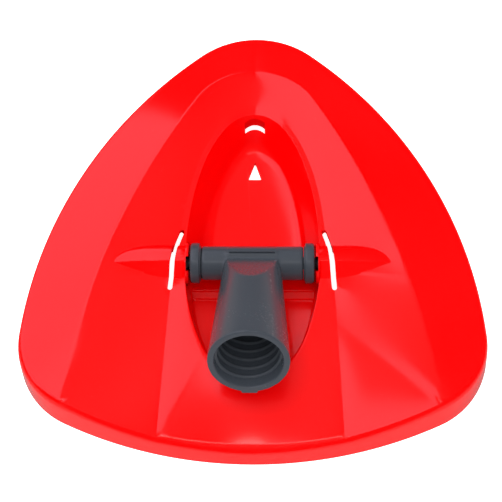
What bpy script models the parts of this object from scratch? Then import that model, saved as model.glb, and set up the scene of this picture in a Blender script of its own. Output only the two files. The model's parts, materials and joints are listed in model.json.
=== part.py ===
"""Triangular mop head base: moulded shell, refill frame and a tilting handle socket."""
import math

import bmesh
import bpy
from mathutils import Matrix, Vector

MM = 0.001

# ---- driving dimensions, in millimetres and degrees ----
head_width = 196.0
head_depth = 195.4
corner_radius = 35.0
tip_radius = 40.0
side_radius = 192.0
front_radius = 184.0
wall = 2.4
fit_gap = 0.3

skirt_draft = 0.7
shoulder_run = 3.0
skirt_top_front = 8.0
skirt_top_side = 12.6
edge_height_front = 12.5
edge_height_tongue = 14.7
edge_height_side = 15.2
ridge_height = 24.6
ridge_height_corner = 20.4

ridge_tip_inset = 24.0
ridge_peak_inset = 4.0
ridge_radius = 326.0
ridge_corner_inset_x = 21.0
ridge_corner_inset_y = 20.6
tongue_margin = 6.6  # tongue edge beyond the jaw face
tongue_flare = 4.5

pivot_to_front = 81.4
pivot_height = 20.0
recess_lip_margin = 0.8  # recess half width beyond the jaw faces
recess_tip_margin = 20.0  # rear of the recess to the crest
recess_front_margin = 29.9  # front of the recess to the front edge
recess_wall_run_side = 7.0
recess_wall_run_end = 10.0
well_wall_run = 1.6
lip_drop_side = 3.2  # lip heights below the crest
lip_drop_rear = 2.2
lip_drop_front = 6.2
floor_height = 7.4
well_floor_height = 4.6
well_start = 10.5

ear_rise = 1.4  # top of the ears above the crest
ear_tip_margin = 40.4  # tip of the ears in from the side
ear_crease_offset = -1.3
ear_rear_offset = 7.4
ear_front_offset = -8.3

slit_width = 2.1
slit_offsets = ((2.5, 13.6), (4.6, 7.2), (5.8, -1.0), (6.8, -11.2))  # outward from the jaw face, rearward

crossbar_radius = 7.1
crossbar_half_length = 21.2
collar_rise = 1.4
collar_width = 4.4
axle_radius = 2.7
axle_engagement = 1.8
jaw_clearance = 1.5
jaw_wall = 5.0
pocket_clearance = 1.2

rest_tilt = 26.0
barrel_length = 60.0
barrel_root_radius = 11.7
barrel_mouth_radius = 16.35
socket_mouth_wall = 2.85
socket_end_wall = 2.27
socket_floor_length = 28.0
thread_depth = 0.8
thread_pitch = 4.6
root_flat_start = 2.0
root_flat_end = 23.0
root_flat_drop_start = 0.8
root_flat_drop_end = 0.18
mouth_rib_width = 6.4
mouth_rib_rise = 0.8

frame_inset_outer = 6.0
frame_inset_inner = 21.0
frame_underside = 3.0
frame_thickness = 2.4
post_radius = 3.6
screw_inset = 13.5
screw_head_radius = 3.0
screw_head_height = 1.8
screw_shank_radius = 1.4
screw_length = 9.0

clip_width = 12.0
clip_stem = 1.9
clip_inset = 15.0
clip_barb = 1.8

window_arc_width = 8.6
window_arc_height = 3.0
window_arc_bow = 1.6
window_arc_margin = 1.1
arrow_width = 6.0
arrow_length = 8.0
arrow_margin = 24.1

# ---- values worked out from the driving dimensions ----
front_y = -head_depth / 2
tip_y = head_depth / 2
pivot_y = front_y + pivot_to_front
corner_x = head_width / 2 - corner_radius
front_arc_y = front_y + front_radius
corner_y = front_arc_y - math.sqrt((front_radius - corner_radius) ** 2 - corner_x ** 2)
tip_centre_y = tip_y - tip_radius
collar_radius = crossbar_radius + collar_rise
collar_outer = crossbar_half_length + fit_gap + collar_width
pocket_radius = collar_radius + pocket_clearance
jaw_face = collar_outer + jaw_clearance
axle_reach = jaw_face + axle_engagement
recess_half_width = jaw_face + recess_lip_margin
recess_rear_reach = head_depth - pivot_to_front - ridge_tip_inset - recess_tip_margin
recess_front_reach = pivot_to_front - recess_front_margin
lip_height_side = ridge_height - lip_drop_side
lip_height_rear = ridge_height - lip_drop_rear
lip_height_front = ridge_height - lip_drop_front
ear_top_height = ridge_height + ear_rise
ear_tip_reach = head_width / 2 - ear_tip_margin
slit_path = [(jaw_face + out, along) for out, along in slit_offsets]
tongue_half_width_slit = jaw_face + tongue_margin
tongue_half_width_front = tongue_half_width_slit + tongue_flare
socket_depth = barrel_length - socket_floor_length
barrel_taper = (barrel_mouth_radius - barrel_root_radius) / (barrel_length + 2.0)
socket_radius = barrel_mouth_radius - socket_mouth_wall
socket_end_radius = barrel_root_radius + barrel_taper * (socket_floor_length + 2.0) - socket_end_wall
window_arc_reach = recess_rear_reach - window_arc_margin
arrow_reach = recess_rear_reach - arrow_margin
frame_top = frame_underside + frame_thickness
slit_end_y = pivot_y + slit_path[-1][1]

body_colour = (0.78, 0.004, 0.006, 1.0)
swivel_colour = (0.075, 0.088, 0.105, 1.0)
pin_colour = (0.03, 0.032, 0.04, 1.0)
frame_colour = (0.62, 0.006, 0.008, 1.0)
clip_colour = (0.72, 0.73, 0.74, 1.0)
steel_colour = (0.62, 0.63, 0.65, 1.0)


# ---- scene helpers ----
def clear_scene():
    for item in list(bpy.data.objects):
        bpy.data.objects.remove(item, do_unlink=True)


def make_collection(name, hidden):
    group = bpy.data.collections.new(name)
    bpy.context.scene.collection.children.link(group)
    group.hide_render = hidden
    return group


def make_material(name, colour, roughness, metallic=0.0):
    material = bpy.data.materials.new(name)
    material.use_nodes = True
    shader = material.node_tree.nodes["Principled BSDF"]
    shader.inputs["Base Color"].default_value = colour
    shader.inputs["Roughness"].default_value = roughness
    shader.inputs["Metallic"].default_value = metallic
    material.diffuse_color = colour
    return material


def object_from_bmesh(name, mesh_data, group, material=None):
    bmesh.ops.recalc_face_normals(mesh_data, faces=mesh_data.faces)
    mesh = bpy.data.meshes.new(name)
    mesh_data.to_mesh(mesh)
    mesh_data.free()
    item = bpy.data.objects.new(name, mesh)
    group.objects.link(item)
    if material:
        mesh.materials.append(material)
    return item


def make_cutter(name, mesh_data):
    item = object_from_bmesh(name, mesh_data, cutters)
    item.display_type = "WIRE"
    item.hide_render = True
    return item


def combine(target, tool, operation):
    modifier = target.modifiers.new(operation.lower() + "_" + tool.name, "BOOLEAN")
    modifier.operation = operation
    modifier.solver = "EXACT"
    modifier.object = tool


def bake(item, sharp_angle=35.0):
    bpy.context.view_layer.update()
    depsgraph = bpy.context.evaluated_depsgraph_get()
    mesh = bpy.data.meshes.new_from_object(item.evaluated_get(depsgraph))
    old_mesh = item.data
    item.modifiers.clear()
    item.data = mesh
    bpy.data.meshes.remove(old_mesh)
    tidy = bmesh.new()
    tidy.from_mesh(mesh)
    bmesh.ops.remove_doubles(tidy, verts=tidy.verts, dist=0.00001)
    bmesh.ops.dissolve_degenerate(tidy, dist=0.00001, edges=tidy.edges)
    tidy.to_mesh(mesh)
    tidy.free()
    mesh.shade_smooth()
    mesh.set_sharp_from_angle(angle=math.radians(sharp_angle))


# ---- solids ----
def lathe_x(profile, segments=48):
    """Closed turned solid about the X axis from (x, radius) points, in millimetres."""
    data = bmesh.new()
    verts = [data.verts.new((x * MM, 0, radius * MM)) for x, radius in profile]
    edges = [data.edges.new((a, b)) for a, b in zip(verts, verts[1:])]
    bmesh.ops.spin(data, geom=verts + edges, axis=(1, 0, 0), cent=(0, 0, 0),
                   steps=segments, angle=math.tau)
    bmesh.ops.remove_doubles(data, verts=data.verts, dist=0.000001)
    return data


def lathe_z(profile, segments=32):
    data = lathe_x([(z, radius) for radius, z in profile], segments)
    bmesh.ops.rotate(data, verts=data.verts, matrix=Matrix.Rotation(-math.pi / 2, 3, "Y"))
    return data


def prism(outline, low, high):
    """Upright solid over a closed outline of (x, y) points, in millimetres."""
    data = bmesh.new()
    face = data.faces.new([data.verts.new((x * MM, y * MM, low * MM)) for x, y in outline])
    raised = bmesh.ops.extrude_face_region(data, geom=[face])["geom"]
    verts = [part for part in raised if isinstance(part, bmesh.types.BMVert)]
    bmesh.ops.translate(data, verts=verts, vec=(0, 0, (high - low) * MM))
    return data


def box(x0, x1, y0, y1, z0, z1):
    return prism(((x0, y0), (x1, y0), (x1, y1), (x0, y1)), z0, z1)


def loft(rings):
    """Closed solid through rings of equal point count; both end rings are capped."""
    data = bmesh.new()
    rows = [[data.verts.new(Vector(point) * MM) for point in ring] for ring in rings]
    count = len(rings[0])
    for row, following in zip(rows, rows[1:]):
        for k in range(count):
            data.faces.new((row[k], row[(k + 1) % count], following[(k + 1) % count], following[k]))
    data.faces.new(rows[0])
    data.faces.new(rows[-1])
    bmesh.ops.remove_doubles(data, verts=data.verts, dist=0.00001)
    return data


# ---- plan curves of the head ----
def ray_circle(angle, centre, radius):
    """Distance from the pivot centre to the far side of a circle along a ray."""
    dx = math.cos(angle)
    dy = math.sin(angle)
    ox = -centre[0]
    oy = pivot_y - centre[1]
    along = ox * dx + oy * dy
    inside = along * along - (ox * ox + oy * oy - radius * radius)
    return -along + math.sqrt(inside) if inside > 0 else None


def side_centre():
    """Centre of the right flank's arc, which runs into the tip arc and the front corner arc."""
    span_x = corner_x
    span_y = corner_y - tip_centre_y
    span = math.hypot(span_x, span_y)
    to_tip = side_radius - tip_radius
    to_corner = side_radius - corner_radius
    along = (to_tip ** 2 - to_corner ** 2 + span ** 2) / (2 * span)
    away = math.sqrt(to_tip ** 2 - along ** 2)
    unit_x = span_x / span
    unit_y = span_y / span
    return unit_x * along + unit_y * away, tip_centre_y + unit_y * along - unit_x * away


def outline_radius(angle, inset):
    """Radius of the rounded triangle, moved inward by inset, seen from the pivot centre."""
    mirrored = math.atan2(math.sin(angle), abs(math.cos(angle)))
    side = side_centre()
    arcs = (((0, tip_centre_y), tip_radius), ((corner_x, corner_y), corner_radius))
    for (cx, cy), radius in arcs:
        reach = ray_circle(mirrored, (cx, cy), radius - inset)
        if reach is None:
            continue
        x = reach * math.cos(mirrored) - cx
        y = pivot_y + reach * math.sin(mirrored) - cy
        turn = math.atan2(y, x)
        low, high = arc_span(cx, cy, side)
        if low <= turn <= high:
            return reach
    front = ray_circle(mirrored, (0, front_arc_y), front_radius - inset)
    flank = ray_circle(mirrored, side, side_radius - inset)
    if front is None or pivot_y + front * math.sin(mirrored) > corner_y:
        return flank
    return min(front, flank)


def arc_span(cx, cy, side):
    """First and last turn angle of a corner arc, where the neighbouring arcs run into it."""
    to_side = math.atan2(cy - side[1], cx - side[0])
    if cx == 0:
        return to_side, math.pi - to_side
    to_front = math.atan2(cy - front_arc_y, cx)
    return to_front, to_side


def ridge_flank_centre():
    peak = (0, tip_y - ridge_peak_inset)
    corner = (head_width / 2 - ridge_corner_inset_x, front_y + ridge_corner_inset_y)
    return arc_centre(peak, corner, ridge_radius)


def ridge_radius_at(angle):
    """The crest line: a wide arc down each flank, run into a small arc round the tip."""
    mirrored = math.atan2(math.sin(angle), abs(math.cos(angle)))
    cx, cy = ridge_flank_centre()
    rise = tip_y - ridge_tip_inset - cy
    tip = (ridge_radius ** 2 - cx ** 2 - rise ** 2) / (2 * (ridge_radius - rise))
    tip_centre = tip_y - ridge_tip_inset - tip
    lean = math.atan2(tip_centre - cy, -cx)
    meet_x = tip * math.cos(lean)
    meet_y = tip_centre + tip * math.sin(lean)
    if mirrored > math.atan2(meet_y - pivot_y, meet_x):
        return ray_circle(mirrored, (0, tip_centre), tip)
    return ray_circle(mirrored, (cx, cy), ridge_radius)


def arc_centre(start, end, radius):
    middle_x = (start[0] + end[0]) / 2
    middle_y = (start[1] + end[1]) / 2
    dx = end[0] - start[0]
    dy = end[1] - start[1]
    span = math.hypot(dx, dy)
    away = math.sqrt(radius ** 2 - (span / 2) ** 2)
    return middle_x + dy / span * away, middle_y - dx / span * away


def blend(value, low, high):
    t = min(1.0, max(0.0, (value - low) / (high - low)))
    return t * t * (3 - 2 * t)


def recess_radius(angle, grow):
    """Egg-shaped opening: one half-ellipse to the rear and a shorter one to the front."""
    reach = recess_rear_reach if math.sin(angle) > 0 else recess_front_reach
    across = (math.cos(angle) / (recess_half_width + grow)) ** 2
    along = (math.sin(angle) / (reach + grow)) ** 2
    return 1 / math.sqrt(across + along)


def floor_radius(angle, grow):
    """Foot of the recess wall: gently sloped to the rear, steep round the front well."""
    reach = recess_rear_reach if math.sin(angle) > 0 else recess_front_reach
    steep = blend(-math.sin(angle), 0.0, 0.3)
    run_side = recess_wall_run_side + (well_wall_run - recess_wall_run_side) * steep
    run_end = recess_wall_run_end + (well_wall_run - recess_wall_run_end) * steep
    across = (math.cos(angle) / (recess_half_width - run_side + grow)) ** 2
    along = (math.sin(angle) / (reach - run_end + grow)) ** 2
    return 1 / math.sqrt(across + along)


def tongue_radius(angle):
    """Valley line: hugs the recess, then runs forward along both sides of the front tongue."""
    hug = recess_radius(angle, 2.6)
    if math.sin(angle) > -0.12:
        return hug
    half = tongue_half_width_slit
    slope = (tongue_half_width_front - half) / (slit_end_y - front_y)
    dx = abs(math.cos(angle)) + slope * math.sin(angle)
    start = half + slope * (slit_end_y - pivot_y)
    return max(hug, start / dx) if dx > 0.02 else 1000.0


# ---- heights ----
def corner_angle():
    """Ray angle at which the crest line meets the front edge."""
    low = math.radians(-60)
    high = math.radians(-20)
    for _ in range(40):
        middle = (low + high) / 2
        if ridge_radius_at(middle) > outline_radius(middle, shoulder_run):
            low = middle
        else:
            high = middle
    return (low + high) / 2


def tongue_angle():
    """Ray angle at which the tongue edge meets the front edge."""
    low = math.radians(-85)
    high = math.radians(-45)
    for _ in range(40):
        middle = (low + high) / 2
        if tongue_radius(middle) > outline_radius(middle, shoulder_run):
            low = middle
        else:
            high = middle
    return (low + high) / 2


def edge_height(turn):
    at_corner = corner_angle()
    at_tongue = tongue_angle()
    if turn > at_corner:
        rise = blend(turn, at_corner, at_corner + 0.45)
        return ridge_height_corner + (edge_height_side - ridge_height_corner) * rise
    if turn > at_tongue:
        share = (turn - at_tongue) / (at_corner - at_tongue)
        return edge_height_tongue + (ridge_height_corner - edge_height_tongue) * share
    share = blend(turn, -math.pi / 2, at_tongue)
    return edge_height_front + (edge_height_tongue - edge_height_front) * share


def skirt_height(turn):
    share = blend(turn, -math.pi / 2, corner_angle())
    return skirt_top_front + (skirt_top_side - skirt_top_front) * share


def crest_height(turn):
    share = blend(turn, corner_angle(), 0.1)
    return ridge_height_corner + (ridge_height - ridge_height_corner) * share


def lip_height(turn):
    if turn > 0:
        return lip_height_side + (lip_height_rear - lip_height_side) * blend(turn, 0, math.pi / 2)
    return lip_height_side + (lip_height_front - lip_height_side) * blend(-turn, 0, math.pi / 2)


def section(angle):
    """Corner points of the outer surface along one ray, as (radius, height), outside first."""
    turn = math.atan2(math.sin(angle), abs(math.cos(angle)))
    edge = outline_radius(angle, shoulder_run)
    crest = min(ridge_radius_at(angle), edge)
    valley = min(tongue_radius(angle), edge)
    lip = recess_radius(angle, 0)
    edge_z = edge_height(turn)
    crest_z = edge_z if crest == edge else crest_height(turn)
    lip_z = lip_height(turn)
    valley_z = edge_z if valley == edge else lip_z + 0.1
    if edge > valley and turn < -0.3:
        share = (valley - lip) / max(edge - lip, 0.001)
        valley_z = min(valley_z, lip_z + (edge_height_tongue - lip_z) * share)
    shoulder = outline_radius(angle, shoulder_run * 0.4)
    skirt_z = skirt_height(turn)
    return [
        (outline_radius(angle, 0), 0.0),
        (outline_radius(angle, skirt_draft), skirt_z),
        (shoulder, skirt_z + (edge_z - skirt_z) * 0.72),
        (edge, edge_z),
        (crest, crest_z),
        (valley, valley_z),
        (lip, lip_z),
        (floor_radius(angle, 0), floor_height),
    ]


def inner_section(angle):
    """The same ray on the underside, one wall thickness in."""
    outer = section(angle)
    foot = outline_radius(angle, wall)
    lip = recess_radius(angle, wall)
    edge = min(outer[3][0], outline_radius(angle, wall + 2.0))
    crest = min(outer[4][0], edge)
    valley = min(max(outer[5][0], lip + 0.5), crest)
    return [
        (foot, -1.0),
        (outline_radius(angle, wall + skirt_draft), outer[1][1] - 0.6),
        (edge, outer[3][1] - wall),
        (crest, outer[4][1] - wall),
        (valley, outer[5][1] - wall),
        (lip, outer[6][1] - wall - 0.4),
        (floor_radius(angle, wall * 0.8), floor_height - wall),
    ]


def surface_height(x, y):
    """Height of the outer surface over a plan point, outside the recess."""
    angle = math.atan2(y - pivot_y, x)
    reach = math.hypot(x, y - pivot_y)
    corners = section(angle)
    for (r0, z0), (r1, z1) in zip(corners, corners[1:]):
        if r1 <= reach <= r0 and r0 > r1:
            return z0 + (z1 - z0) * (r0 - reach) / (r0 - r1)
    return corners[-1][1]


def station_angles(count):
    """Even rays plus the exact ones at the tip, the front and every crest corner."""
    exact = [math.pi / 2, -math.pi / 2]
    for turn in (corner_angle(), tongue_angle()):
        exact += [turn, -math.pi - turn]
    step = math.tau / count
    rays = [k * step - math.pi for k in range(count)]
    exact = [math.atan2(math.sin(a), math.cos(a)) for a in exact]
    kept = [a for a in rays if all(abs(a - b) > step * 0.4 for b in exact)]
    return sorted(kept + exact)


def ray_solid(profile_at, angles):
    """Solid under a surface given ray by ray, closed underneath by its own foot ring."""
    rings = []
    profiles = [profile_at(angle) for angle in angles]
    for k in range(len(profiles[0])):
        ring = []
        for angle, profile in zip(angles, profiles):
            reach, height = profile[k]
            ring.append((reach * math.cos(angle), pivot_y + reach * math.sin(angle), height))
        rings.append(ring)
    return loft(rings)


# ---- sub-parts ----
def ear_section(side, x, deeper):
    """One cross-section of the fairing outside a jaw, from its rear foot over to its front foot."""
    span = (x - jaw_face) / (ear_tip_reach - jaw_face)
    shrink = math.sqrt(max(0.0, 1 - span ** 4))
    front_shrink = max(0.0, 1 - span ** 1.9)
    crease_y = pivot_y + ear_crease_offset
    rear_y = crease_y + (ear_rear_offset - ear_crease_offset) * shrink - deeper
    front_y_here = crease_y + (ear_front_offset - ear_crease_offset) * front_shrink + deeper
    panel = surface_height(x, crease_y)
    rise = max(0.0, ear_top_height - 0.3 * span - panel) * (1 - span ** 5)
    base = 9.0 if deeper == 0 else -1.0
    points = [(rear_y, base)]
    for k in range(7):
        share = k / 6
        y = rear_y + (crease_y - rear_y) * share
        crown = (1 - (1 - share) ** 2.4) ** (1 / 2.4)
        points.append((y, panel - 1.0 + (rise + 1.0) * crown - deeper))
    points.append((front_y_here, panel - 1.0 - deeper))
    points.append((front_y_here, base))
    return [(side * x, y, z) for y, z in points]


def ear_solid(side, deeper=0.0, start=jaw_face):
    steps = 12
    reach = ear_tip_reach - 0.2 - deeper * 2
    rings = []
    for k in range(steps + 1):
        x = start + (reach - start) * math.sin(k / steps * math.pi / 2)
        rings.append(ear_section(side, x, deeper))
    return loft(rings)


def slit_outline(side):
    half = slit_width / 2
    left = []
    right = []
    points = [(side * x, pivot_y + y) for x, y in slit_path]
    for k, (x, y) in enumerate(points):
        before = points[max(k - 1, 0)]
        after = points[min(k + 1, len(points) - 1)]
        heading = math.atan2(after[1] - before[1], after[0] - before[0])
        left.append((x - half * math.sin(heading), y + half * math.cos(heading)))
        right.append((x + half * math.sin(heading), y - half * math.cos(heading)))
    first = math.atan2(points[1][1] - points[0][1], points[1][0] - points[0][0])
    last = math.atan2(points[-1][1] - points[-2][1], points[-1][0] - points[-2][0])
    start_cap = [(points[0][0] - half * math.cos(first + t), points[0][1] - half * math.sin(first + t))
                 for t in (0.8, 0.0, -0.8)]
    end_cap = [(points[-1][0] + half * math.cos(last + t), points[-1][1] + half * math.sin(last + t))
               for t in (0.8, 0.0, -0.8)]
    return left + end_cap + right[::-1] + start_cap


def frame_point(angle_deg, inset):
    angle = math.radians(angle_deg)
    reach = outline_radius(angle, inset)
    return reach * math.cos(angle), pivot_y + reach * math.sin(angle)


screw_angles = (58.0, 122.0, 2.0, 178.0, -62.0, -118.0)
clip_angles = {"rear": 90.0, "left": -149.0, "right": -31.0}


def well_outline(grow, start):
    """Plan outline of the deeper front part of the recess, from the given step line forward."""
    points = []
    for degrees in range(-176, -3, 8):
        angle = math.radians(degrees)
        reach = floor_radius(angle, grow)
        points.append((reach * math.cos(angle), pivot_y + reach * math.sin(angle)))
    points = [point for point in points if point[1] < pivot_y - start - 0.5]
    return [(points[0][0], pivot_y - start)] + points + [(points[-1][0], pivot_y - start)]


def jaw_outline(side, half):
    """Plan outline of the solid behind a jaw face, bounded outside by the slit."""
    inner = recess_half_width - recess_wall_run_side - 1
    outer = [(x - slit_width / 2, y) for x, y in slit_path if abs(y) < half]
    outer = [(min(outer[0][0], jaw_face + 3.2), half)] + outer + [(jaw_face + jaw_wall, -half)]
    points = [(inner, -half), (inner, half)] + outer
    return [(side * x, pivot_y + y) for x, y in points]


def build_shell(material):
    angles = station_angles(84)
    shell = object_from_bmesh("top_shell", ray_solid(section, angles), parts, material)
    for side, tag in ((1, "right"), (-1, "left")):
        combine(shell, make_cutter("ear_outer_" + tag, ear_solid(side)), "UNION")

    hollow = make_cutter("hollow", ray_solid(inner_section, angles))
    for side, tag in ((1, "right"), (-1, "left")):
        combine(hollow, make_cutter("ear_inner_" + tag, ear_solid(side, wall - 0.2, jaw_face + 2.0)), "UNION")
    for side, tag in ((1, "right"), (-1, "left")):
        half = pocket_radius + wall
        low = pivot_height - pocket_radius - wall
        keep = prism(jaw_outline(side, half), low, 40)
        combine(hollow, make_cutter("jaw_block_" + tag, keep), "DIFFERENCE")
    keep = prism(well_outline(wall * 0.5, well_start - wall), well_floor_height - wall, 40)
    combine(hollow, make_cutter("well_block", keep), "DIFFERENCE")
    for index, angle in enumerate(screw_angles):
        x, y = frame_point(angle, screw_inset)
        post = lathe_z(((0, frame_top + fit_gap), (post_radius, frame_top + fit_gap),
                        (post_radius, 40), (0, 40)), 20)
        bmesh.ops.translate(post, verts=post.verts, vec=(x * MM, y * MM, 0))
        combine(hollow, make_cutter("post_%d" % (index + 1), post), "DIFFERENCE")
    bake(hollow)
    combine(shell, hollow, "DIFFERENCE")

    well = prism(well_outline(-0.1, well_start), well_floor_height, floor_height + 6)
    combine(shell, make_cutter("well", well), "DIFFERENCE")

    pocket = lathe_x(((-jaw_face, 0), (-jaw_face, pocket_radius), (jaw_face, pocket_radius),
                      (jaw_face, 0)), 40)
    bmesh.ops.translate(pocket, verts=pocket.verts, vec=(0, pivot_y * MM, pivot_height * MM))
    combine(shell, make_cutter("pocket", pocket), "DIFFERENCE")
    seat_reach = axle_reach + fit_gap
    seat = lathe_x(((-seat_reach, 0), (-seat_reach, axle_radius + fit_gap),
                    (-jaw_face - 0.8, axle_radius + fit_gap), (-jaw_face + 0.2, axle_radius + fit_gap + 1.0),
                    (jaw_face - 0.2, axle_radius + fit_gap + 1.0), (jaw_face + 0.8, axle_radius + fit_gap),
                    (seat_reach, axle_radius + fit_gap), (seat_reach, 0)), 28)
    bmesh.ops.translate(seat, verts=seat.verts, vec=(0, pivot_y * MM, pivot_height * MM))
    combine(shell, make_cutter("axle_seats", seat), "DIFFERENCE")
    for side, tag in ((1, "right"), (-1, "left")):
        combine(shell, make_cutter("slit_" + tag, prism(slit_outline(side), -2, 40)), "DIFFERENCE")

    arc = []
    for k in range(7):
        share = -1 + k / 3
        arc.append((share * window_arc_width / 2,
                    pivot_y + window_arc_reach - window_arc_bow * share * share))
    arc += [(x, y - window_arc_height) for x, y in reversed(arc)]
    combine(shell, make_cutter("arc_window", prism(arc, -2, 40)), "DIFFERENCE")
    base = pivot_y + arrow_reach
    arrow = ((-arrow_width / 2, base), (arrow_width / 2, base), (0, base + arrow_length))
    combine(shell, make_cutter("arrow_window", prism(arrow, -2, 40)), "DIFFERENCE")
    for index, angle in enumerate(screw_angles):
        x, y = frame_point(angle, screw_inset)
        radius = screw_shank_radius + fit_gap
        depth = frame_top + screw_length
        pilot = lathe_z(((0, 0), (radius, 0), (radius, depth), (0, depth)), 16)
        bmesh.ops.translate(pilot, verts=pilot.verts, vec=(x * MM, y * MM, 0))
        combine(shell, make_cutter("pilot_%d" % (index + 1), pilot), "DIFFERENCE")
    bake(shell, 28)
    return shell


def build_frame(material):
    """Flat ring under the shell that the mop refill clips on to."""
    angles = [math.radians(d) for d in range(-180, 180, 5)]
    outer = [(outline_radius(a, frame_inset_outer) * math.cos(a),
              pivot_y + outline_radius(a, frame_inset_outer) * math.sin(a)) for a in angles]
    inner = [(outline_radius(a, frame_inset_inner) * math.cos(a),
              pivot_y + outline_radius(a, frame_inset_inner) * math.sin(a)) for a in angles]
    ring = object_from_bmesh("refill_frame", prism(outer, frame_underside, frame_top), parts, material)
    combine(ring, make_cutter("frame_hole", prism(inner, frame_underside - 2, frame_top + 2)), "DIFFERENCE")
    for index, angle in enumerate(screw_angles):
        x, y = frame_point(angle, screw_inset)
        radius = screw_shank_radius + fit_gap
        hole = lathe_z(((0, 0), (radius, 0), (radius, 12), (0, 12)), 16)
        bmesh.ops.translate(hole, verts=hole.verts, vec=(x * MM, y * MM, 0))
        combine(ring, make_cutter("frame_bore_%d" % (index + 1), hole), "DIFFERENCE")
    for tag, angle in clip_angles.items():
        half = clip_stem / 2 + fit_gap
        side = clip_width / 2 + fit_gap
        window = box(-half, half, -side, side, 0, 12)
        place_radially(window, angle)
        combine(ring, make_cutter("clip_window_" + tag, window), "DIFFERENCE")
    bake(ring, 30)
    return ring


def place_radially(data, angle):
    x, y = frame_point(angle, clip_inset)
    bmesh.ops.rotate(data, verts=data.verts, matrix=Matrix.Rotation(math.radians(angle), 3, "Z"))
    bmesh.ops.translate(data, verts=data.verts, vec=(x * MM, y * MM, 0))


def build_clip(tag, angle, material):
    """Sprung hook: a head over the frame, a stem through it and a barb under the refill ring."""
    top = frame_top + fit_gap
    profile = [(-3.0, top), (-clip_stem / 2, top), (-clip_stem / 2, 2.2), (-clip_stem / 2 - clip_barb, 1.7),
               (-clip_stem / 2 - clip_barb, 1.2), (-clip_stem / 2 + 0.4, 0.5), (clip_stem / 2, 0.5),
               (clip_stem / 2, top), (3.0, top), (3.0, top + 1.6), (-3.0, top + 1.6)]
    data = prism([(x, z) for x, z in profile], -clip_width / 2, clip_width / 2)
    bmesh.ops.rotate(data, verts=data.verts, matrix=Matrix.Rotation(math.pi / 2, 3, "X"))
    place_radially(data, angle)
    clip = object_from_bmesh("refill_clip_" + tag, data, parts, material)
    bake(clip, 30)
    return clip


def build_screw(index, angle, material):
    """Pan-head screw from below, with a short cross recess."""
    head_top = frame_underside - fit_gap
    head_low = head_top - screw_head_height
    tip = head_top + screw_length
    profile = ((0, head_low), (screw_head_radius * 0.72, head_low), (screw_head_radius, head_low + 0.7),
               (screw_head_radius, head_top), (screw_shank_radius, head_top),
               (screw_shank_radius, tip - 1.2), (0.3, tip), (0, tip))
    screw = object_from_bmesh("frame_screw_%d" % index, lathe_z(profile, 20), parts, material)
    for turn in (0, 90):
        slot = box(-1.8, 1.8, -0.35, 0.35, head_low - 1, head_low + 0.9)
        bmesh.ops.rotate(slot, verts=slot.verts, matrix=Matrix.Rotation(math.radians(turn), 3, "Z"))
        combine(screw, make_cutter("drive_%d_%d" % (index, turn), slot), "DIFFERENCE")
    bake(screw, 30)
    x, y = frame_point(angle, screw_inset)
    screw.data.transform(Matrix.Translation((x * MM, y * MM, 0)))
    return screw


def root_flat(flip):
    """Wedge that planes the barrel's root down to the crossbar, above or below."""
    z0 = root_flat_start
    z1 = root_flat_end
    y0 = crossbar_radius - root_flat_drop_start
    y1 = barrel_root_radius + barrel_taper * (z1 + 2.0) - root_flat_drop_end
    slope = (y1 - y0) / (z1 - z0)
    profile = [(-4.0, y0 - slope * (z0 + 4.0)), (z1 + 6.0, y1 + slope * 6.0), (z1 + 6.0, 40.0), (-4.0, 40.0)]
    wedge = prism([(flip * y, z) for z, y in profile], -20, 20)
    bmesh.ops.rotate(wedge, verts=wedge.verts, matrix=Matrix(((0, 0, 1), (1, 0, 0), (0, 1, 0))))
    return wedge


def build_tee(material):
    """Crossbar and tapered socket in one moulding; the local +Z axis runs along the socket."""
    bar = lathe_x(((-crossbar_half_length, 0), (-crossbar_half_length, crossbar_radius),
                   (crossbar_half_length, crossbar_radius), (crossbar_half_length, 0)), 40)
    tee = object_from_bmesh("swivel_tee", bar, parts, material)
    barrel = lathe_z(((0, -2.0), (barrel_root_radius, -2.0), (barrel_mouth_radius, barrel_length),
                      (0, barrel_length)), 48)
    trim = box(-20, 20, -20, 20, -10, 0)
    root = make_cutter("barrel", barrel)
    combine(root, make_cutter("barrel_trim", trim), "DIFFERENCE")
    for flip, tag in ((1, "top"), (-1, "under")):
        combine(root, make_cutter("root_flat_" + tag, root_flat(flip)), "DIFFERENCE")
    combine(tee, root, "UNION")
    half = mouth_rib_width / 2
    rib = box(-half, half, -barrel_mouth_radius - mouth_rib_rise, -barrel_mouth_radius + 2,
              barrel_length - 5.0, barrel_length)
    combine(tee, make_cutter("mouth_rib", rib), "UNION")

    low = barrel_length - socket_depth
    taper = (socket_radius - socket_end_radius) / socket_depth
    profile = [(0, low), (socket_end_radius - thread_depth, low)]
    z = low + 3.0
    while z + thread_pitch < barrel_length - 2.0:
        groove = socket_end_radius + taper * (z - low)
        land = groove - thread_depth
        profile += [(land, z), (groove, z + 0.8), (groove, z + 2.2), (land, z + 3.0)]
        z += thread_pitch
    profile += [(socket_radius - thread_depth, z + 0.4), (socket_radius - 0.2, z + 1.2)]
    profile += [(socket_radius - 0.2, barrel_length - 0.6), (socket_radius + 0.4, barrel_length),
                (socket_radius + 0.4, barrel_length + 2), (0, barrel_length + 2)]
    combine(tee, make_cutter("socket_bore", lathe_z(profile, 40)), "DIFFERENCE")
    reach = crossbar_half_length + 1
    bore = axle_radius + fit_gap
    axle_bore = lathe_x(((-reach, 0), (-reach, bore), (reach, bore), (reach, 0)), 28)
    combine(tee, make_cutter("axle_bore", axle_bore), "DIFFERENCE")
    bake(tee, 32)
    return tee


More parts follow.
